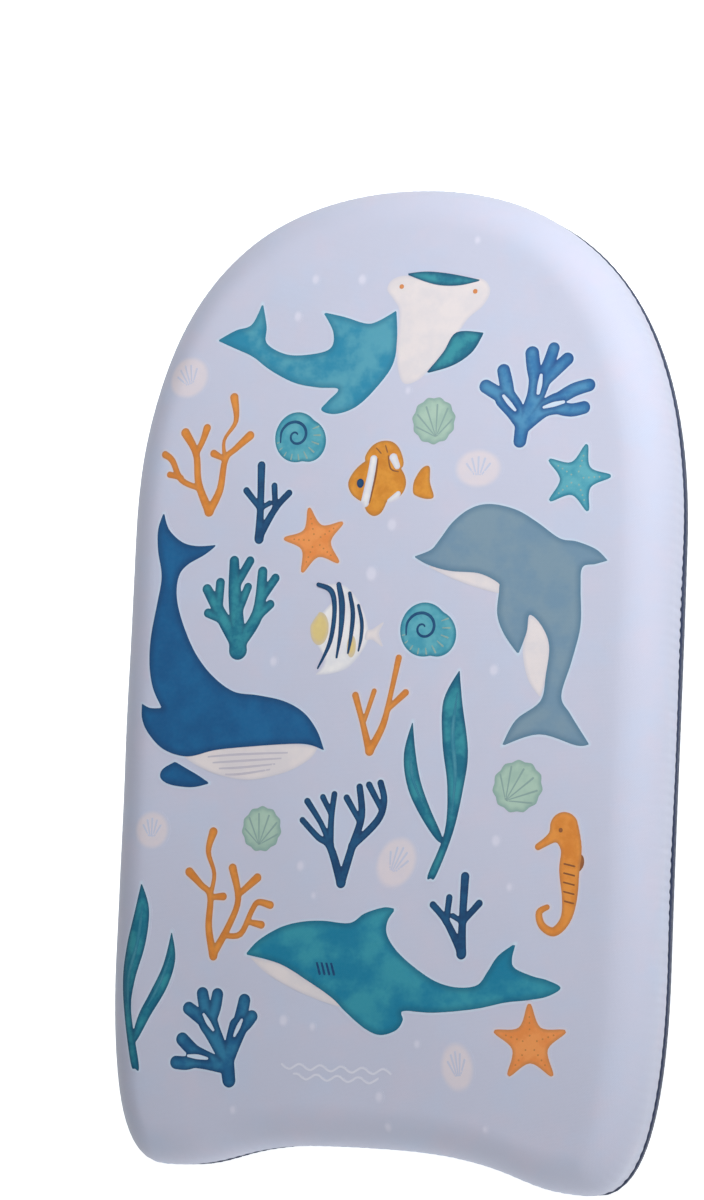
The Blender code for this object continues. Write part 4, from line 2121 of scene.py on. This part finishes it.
def sea_life() -> list[Motif]:
    """Draw every printed picture, from the nose to the tail.

    Returns:
        The motifs, in the order in which they are printed.
    """
    orange_reef = (
        ((2, -27, 2.2), (-4, -14, 1.8), (-6, 0, 1.7), (-12, 10, 2.2)),
        ((-6, 0, 1.4), (-3, 6, 1.5), (-1, 12, 1.9)),
        ((-4, -16, 1.3), (-13, -12, 1.4), (-18, -3, 1.5), (-22, 0, 1.7)),
        ((-13, -11, 1.1), (-19, -9.5, 1.5)),
        ((2, -27, 2.2), (7, -17, 1.8), (9, -3, 1.5), (14, 2, 1.5), (21, 8, 2.1)),
        ((9, -3, 1.2), (8, 6, 0.8), (13.5, 15, 1.2), (12, 26, 2.1)),
        ((9, -3, 1.0), (3, 0, 1.8)),
    )
    low_orange_reef = (
        ((-5, -28, 2.0), (-8, -15, 1.7), (-8, -1, 1.5), (-13, 4, 1.5), (-19, 9.5, 2.1)),
        ((-8, -1, 1.2), (-6.5, 9, 1.0), (-10, 19, 1.3), (-8, 28, 2.1)),
        ((-7.5, -1.5, 1.2), (-1.5, -1, 1.8)),
        ((-5, -27, 1.9), (2, -14, 1.6), (6, -2, 1.5), (2.5, 12, 2.0)),
        ((6, 0, 1.3), (15, 8, 2.0)),
        ((0, -18.5, 1.2), (8, -17.5, 1.4), (13, -7, 1.3), (16, -3, 1.4), (22, -4, 1.8)),
        ((12, -12, 1.2), (18, -13, 1.8)),
    )
    small_orange_reef = (
        ((-4, -18, 1.9), (-8, -5, 1.4), (-12, 7, 1.6)),
        ((-7, -4, 1.0), (-3, 9, 1.2)),
        ((-4, -18, 1.9), (2, -6, 1.6), (5, 8, 1.2), (8, 24, 1.5)),
        ((4, 1, 1.2), (12, 8.5, 1.6)),
    )
    sprig = (
        ((-4, -18, 2.0), (-4, -3, 1.5), (-4.5, 16, 1.7)),
        ((-4, -4, 1.2), (-11.5, 4.5, 1.4)),
        ((-4, -17, 1.7), (3.5, -4, 1.4), (10, 3, 1.4)),
        ((3.5, -4, 1.2), (2.5, 6.5, 1.3)),
        ((-4, -4, 0.9), (0.5, -1.5, 1.1)),
    )
    mirrored_sprig = tuple(tuple((-x - 2, y, r) for x, y, r in stroke) for stroke in sprig)
    teal_reef = (
        ((0, -21, 3.2), (-1, -10, 2.6), (-3, 5, 2.3), (-4, 20, 1.7)),
        ((0, -19, 2.4), (-8, -7, 2.2), (-17, 7, 1.7)),
        ((-11, -2, 1.6), (-10.5, 10, 1.6)),
        ((-8, -7, 1.6), (-16, -4, 1.5)),
        ((-3, 8, 1.5), (4, 20, 1.5)),
        ((-2, -6, 1.6), (3.5, 8, 1.4)),
        ((1, -17, 2.4), (9, -4, 2.1), (10.5, 15, 1.7)),
        ((10, 2, 1.5), (17, 12, 1.5)),
        ((8, -6, 1.6), (15, 0, 1.5)),
    )
    fan = (
        ((1, -23, 1.6), (-5, -7, 1.4), (-11, -3, 1.1), (-19, 4.5, 1.1)),
        ((-5, -6, 1.1), (-10, 3.5, 1.0), (-17, 13, 1.2)),
        ((-5, -6, 1.3), (-5, 6, 1.1), (-4, 16.5, 1.1)),
        ((-5.5, 8, 0.9), (-9.5, 15, 1.1)),
        ((1, -23, 1.6), (5.5, -7, 1.4), (9.5, 7, 1.3), (8, 20, 1.2)),
        ((8.5, 5, 1.0), (2, 15, 1.2)),
        ((5.5, -6.5, 1.3), (17, 5, 1.3), (20, 14, 1.2), (18, 22, 1.2)),
        ((18.5, 11, 1.0), (12.5, 21, 1.2)),
    )
    finger_coral = (
        ((-7, -21, 3.0), (-6, -12, 3.4)),
        ((-7, -13, 3.0), (-10, -7, 4.4), (-14.5, -1.5, 5.0)),
        ((-14, -2, 3.0), (-19, 1, 3.2), (-24, 4, 3.1)),
        ((-13, -2, 3.0), (-14.5, 5, 3.2), (-16, 11, 3.0)),
        ((-6, -13, 3.2), (-1, -2, 4.0), (1, 6, 5.0)),
        ((0, 4, 3.2), (-2, 12, 3.3), (-3, 18.5, 3.2)),
        ((2, 7, 3.0), (5, 14, 2.9), (7, 20.5, 2.7)),
        ((3, 6, 3.0), (8.5, 11, 3.0), (13.5, 15.5, 2.9)),
        ((-5, -14, 3.2), (3, -7, 3.8), (9, -4.5, 4.8)),
        ((10, -2.5, 3.0), (17, 1.5, 3.1), (24, 3.5, 2.9)),
        ((9, -6, 3.0), (16, -7.5, 3.0), (22, -6.5, 2.9)),
    )
    finger_slots = (
        ((-15.5, -0.5, 0.7), (-12.7, -3.8, 1.0), (-9.8, -7, 0.6)),
        ((1.6, 8.5, 0.7), (1.2, 4.5, 1.1), (0.6, 0.5, 0.8)),
        ((3.5, -6, 0.6), (8, -4.8, 1.1), (12.5, -3.8, 0.7)),
    )
    low_finger_coral = (
        ((8.5, -20, 3.2), (7, -11, 3.6)),
        ((6, -14, 3.2), (-2, -12, 4.0), (-8.5, -10.5, 4.9)),
        ((-8, -12, 3.0), (-13, -13.5, 3.1), (-18, -13.5, 3.0)),
        ((-8, -9, 3.0), (-12, -6, 3.1), (-15.5, -3, 3.1)),
        ((6, -10, 3.2), (0, 0, 4.0), (-3, 5, 4.8)),
        ((-4, 5, 3.0), (-9, 8.5, 3.1), (-13, 11, 3.0)),
        ((-3, 6, 3.0), (-5, 12, 3.1), (-6.5, 18, 2.9)),
        ((-2, 6, 3.0), (0, 12, 3.0), (1, 18, 2.8)),
        ((7.5, -11, 3.2), (9.5, -4, 3.8), (12, 4, 4.6)),
        ((12, 5, 3.0), (13.5, 10.5, 3.1), (14.5, 16, 2.9)),
        ((13, 3, 2.9), (16, 6, 3.0), (18.5, 9, 2.8)),
    )
    low_finger_slots = (
        ((-5.5, 8.7, 0.6), (-3, 5.2, 1.1), (-0.4, 2, 0.6)),
        ((10.3, 0, 0.6), (12, 3.8, 1.0), (13.6, 7.2, 0.6)),
        ((-12.2, -10.2, 0.6), (-7.5, -10.4, 1.1), (-2.8, -10.9, 0.6)),
    )
    tall_blades = (
        ((10, 48), (10, 48), (3, 34), (3.5, 15), (6.5, -4), (6, -24), (-1, -43), (0.5, -44.5), (3, -43),
         (10, -24), (14, -4), (15.5, 12), (12, 33)),
        ((-11, 25), (-11, 25), (-14.5, 10), (-12, -5), (-5, -18), (3, -28), (5, -26), (-1, -14),
         (-6, -2), (-9, 11)),
    )
    tall_veins = (
        ((9.5, 38, 0.3), (8, 20, 0.9), (10, 2, 0.8), (9, -16, 0.3)),
        ((-11.5, 14, 0.3), (-10, 0, 0.8), (-4, -13, 0.3)),
    )
    edge_blades = (
        ((-6, 42), (-6, 42), (-1.5, 30), (-2.5, 14), (-7, -3), (-8, -17), (-2.5, -41), (-4.5, -42.5),
         (-7, -40), (-12, -18), (-14, -2), (-12.5, 13), (-9, 28)),
        ((10.5, 20.5), (10.5, 20.5), (13, 8), (9.5, -5), (2, -18), (-4.5, -30), (-6.5, -28),
         (-4, -18), (1, -8), (7, 5)),
    )
    edge_veins = (
        ((-5, 32, 0.3), (-6.5, 15, 0.9), (-10.5, -2, 0.8), (-9.5, -18, 0.3)),
        ((10.5, 10, 0.3), (6, -3, 0.8), (0, -14, 0.3)),
    )
    return [
        broad_headed_shark(),
        pale_shell("print_pale_shell_nose", (-100, 137), (11.5, 10.5), 20),
        finger("print_finger_coral", (71, 125), Inks.BLUE, finger_coral, finger_slots),
        branch_coral("print_orange_coral_upper", (-88, 101), Inks.ORANGE, orange_reef),
        spiral_shell("print_spiral_shell_upper", (-42, 107), 12.3, 40),
        fan_shell("print_green_shell_upper", (23, 114), (10, 10.5), 10),
        clownfish(),
        pale_shell("print_pale_shell_right", (45, 92), (12, 9.5), 0),
        starfish("print_teal_starfish", (91, 87), 75, 15.5, Inks.AQUA),
        branch_coral("print_sprig_upper", (-56, 79), Inks.NAVY, sprig, 1.15),
        starfish("print_orange_starfish_upper", (-32, 60), 104, 15.5, Inks.PEACH),
        whale(),
        branch_coral("print_teal_coral", (-68, 31), Inks.TEAL, teal_reef, 1.4),
        angelfish(),
        spiral_shell("print_spiral_shell_middle", (24, 19), 12.9, 40),
        leaping_dolphin(),
        branch_coral("print_orange_coral_middle", (3, -17), Inks.ORANGE, small_orange_reef),
        seaweed("print_seaweed_middle", (30, -46), tall_blades, tall_veins),
        fan_shell("print_green_shell_right", (69, -49), (11, 11.5), -40),
        fan_shell("print_green_shell_left", (-52, -71), (9.5, 10), -8),
        pale_shell("print_pale_shell_left", (-107, -73), (9.5, 9.5), 0),
        branch_coral("print_fan_coral", (-13, -71), Inks.NAVY, fan, 1.3),
        pale_shell("print_pale_shell_middle", (14, -84), (10, 13), -25),
        seahorse(),
        branch_coral("print_orange_coral_lower", (-68, -101), Inks.ORANGE, low_orange_reef),
        branch_coral("print_sprig_lower", (44, -105), Inks.NAVY, mirrored_sprig, 1.15),
        seaweed("print_seaweed_edge", (-105, -139), edge_blades, edge_veins),
        reef_shark(),
        finger("print_finger_coral_lower", (-71, -164), Inks.DEEP_BLUE, low_finger_coral, low_finger_slots),
        starfish("print_orange_starfish_lower", (79, -160), 93, 17.0, Inks.PEACH),
        pale_shell("print_pale_shell_tail", (46, -172), (8.5, 12), 10),
        bubbles(),
        wave_mark(),
    ]


# ---------------------------------------------------------------- the studio


@dataclass
class Studio:
    """A pale floor, soft lights and the camera."""

    camera_place: tuple[float, float, float] = (0.5098, -0.1149, 1.3275)
    camera_target: tuple[float, float, float] = (-0.0132, 0.0331, 0.0420)
    camera_roll: float = 2.52
    lens: float = 92.97
    sensor: float = 36.0
    floor_size: float = 8.0
    floor_height: float = -0.0004

    def build(self) -> None:
        """Build everything round the board."""
        self.build_floor()
        self.build_lights()
        self.build_camera()

    def build_floor(self) -> None:
        """Build the floor and its pale finish."""
        bm = bmesh.new()
        bmesh.ops.create_grid(bm, x_segments=8, y_segments=8, size=self.floor_size / 2)
        bmesh.ops.translate(bm, verts=bm.verts, vec=(0, 0, self.floor_height))
        material, nodes, shader = new_material("pale_floor")
        cloud = nodes.noise(nodes.place(), 3.0)
        seen = nodes.tree.nodes.new("ShaderNodeLightPath").outputs["Is Camera Ray"]
        pale = nodes.mix(cloud, (0.80, 0.80, 0.80), (0.82, 0.82, 0.82))
        nodes.join(nodes.mix(seen, (0.30, 0.30, 0.30), pale), shader["Base Color"])
        shader["Roughness"].default_value = 0.9
        shader["Specular IOR Level"].default_value = 0.1
        shader["Emission Color"].default_value = (0.94, 0.98, 1.0, 1.0)
        nodes.join(nodes.ramp(seen, 0.0, 1.0, (0.737, 0.94)), shader["Emission Strength"])
        add_piece("studio_floor", bm, material)

    def build_lights(self) -> None:
        """Build the soft lights and the pale surroundings."""
        for name, place, size, power in (
            ("nose_softbox", (0.10, 0.42, 0.80), 0.5, 5.04),
            ("left_softbox", (-0.25, 0.45, 0.90), 0.5, 0.56),
            ("far_softbox", (-0.80, 0.90, 1.00), 0.8, 1.2),
            ("side_softbox", (0.70, 0.37, 0.35), 0.4, 3.4),
            ("low_softbox", (0.90, 0.10, 0.35), 0.5, 0.4),
            ("tail_softbox", (0.10, -1.00, 0.30), 0.6, 3.72),
        ):
            light = bpy.data.lights.new(name, "AREA")
            light.size = size
            light.energy = power
            lamp = bpy.data.objects.new(name, light)
            lamp.location = place
            lamp.visible_camera = False
            lamp.rotation_euler = (-Vector(place)).to_track_quat("-Z", "Y").to_euler()
            bpy.context.scene.collection.objects.link(lamp)
        world = bpy.data.worlds.new("pale_room")
        world.use_nodes = True
        nodes = Nodes(world.node_tree)
        air = world.node_tree.nodes["Background"].inputs
        air["Color"].default_value = (0.96, 0.98, 1.0, 1.0)
        seen = world.node_tree.nodes.new("ShaderNodeLightPath").outputs["Is Camera Ray"]
        nodes.join(nodes.ramp(seen, 0.0, 1.0, (0.02, 0.95)), air["Strength"])
        bpy.context.scene.world = world
        bpy.context.scene.view_settings.view_transform = "Standard"

    def build_camera(self) -> None:
        """Place the camera above the tail's right side, looking down at the deck."""
        data = bpy.data.cameras.new("camera")
        data.lens, data.sensor_width = self.lens, self.sensor
        camera = bpy.data.objects.new("camera", data)
        place, target = Vector(self.camera_place), Vector(self.camera_target)
        forward = (target - place).normalized()
        right = forward.cross(Vector((0, 1, 0))).normalized()
        up = right.cross(forward)
        roll = math.radians(self.camera_roll)
        level = math.cos(roll) * right + math.sin(roll) * up
        upright = math.cos(roll) * up - math.sin(roll) * right
        camera.matrix_world = Matrix.Translation(place) @ Matrix(
            (level, upright, -forward)
        ).transposed().to_4x4()
        bpy.context.scene.collection.objects.link(camera)
        bpy.context.scene.camera = camera


def dress_inside() -> None:
    """Give the hidden foam pieces their own finishes."""
    finishes = {
        "foam_core": FoamFinish("fused_bead_foam", (0.88, 0.88, 0.86), (0.66, 0.66, 0.65), 260.0),
        "deck_padding": FoamFinish("closed_cell_foam", (0.76, 0.78, 0.80), (0.60, 0.63, 0.66), 900.0),
    }
    for node, finish in finishes.items():
        bpy.data.objects[node].material_slots[0].material = finish.material()


def main() -> None:
    """Build the board and its studio."""
    logging.basicConfig(level=logging.INFO, format="%(message)s")
    Studio().build()
    cover_low, cover_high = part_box("deck_cover")
    _, base_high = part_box("base_cover")
    piping_low, piping_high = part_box("seam_piping")
    thread_low, thread_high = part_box("seam_stitching")
    ring = Ring(BoardOutline(cover_high[1], cover_high[0]))
    parts = (
        DeckCover(ring, cover_high[2], cover_low[2]),
        BaseCover(ring, base_high[2]),
        SeamPiping(ring, (piping_low[2] + piping_high[2]) / 2),
        SeamStitching(ring, (thread_low[2] + thread_high[2]) / 2),
    )
    made = [part.build() for part in parts]
    for piece in made:
        LOG.info("%s: %d faces", piece.name, len(piece.data.polygons))
    press = Press(made[0])
    for number, motif in enumerate(sea_life()):
        piece = motif.build(press, number % 3 / 3)
        LOG.info("%s: %d faces", piece.name, len(piece.data.polygons))
    dress_inside()


if __name__ == "__main__":
    main()
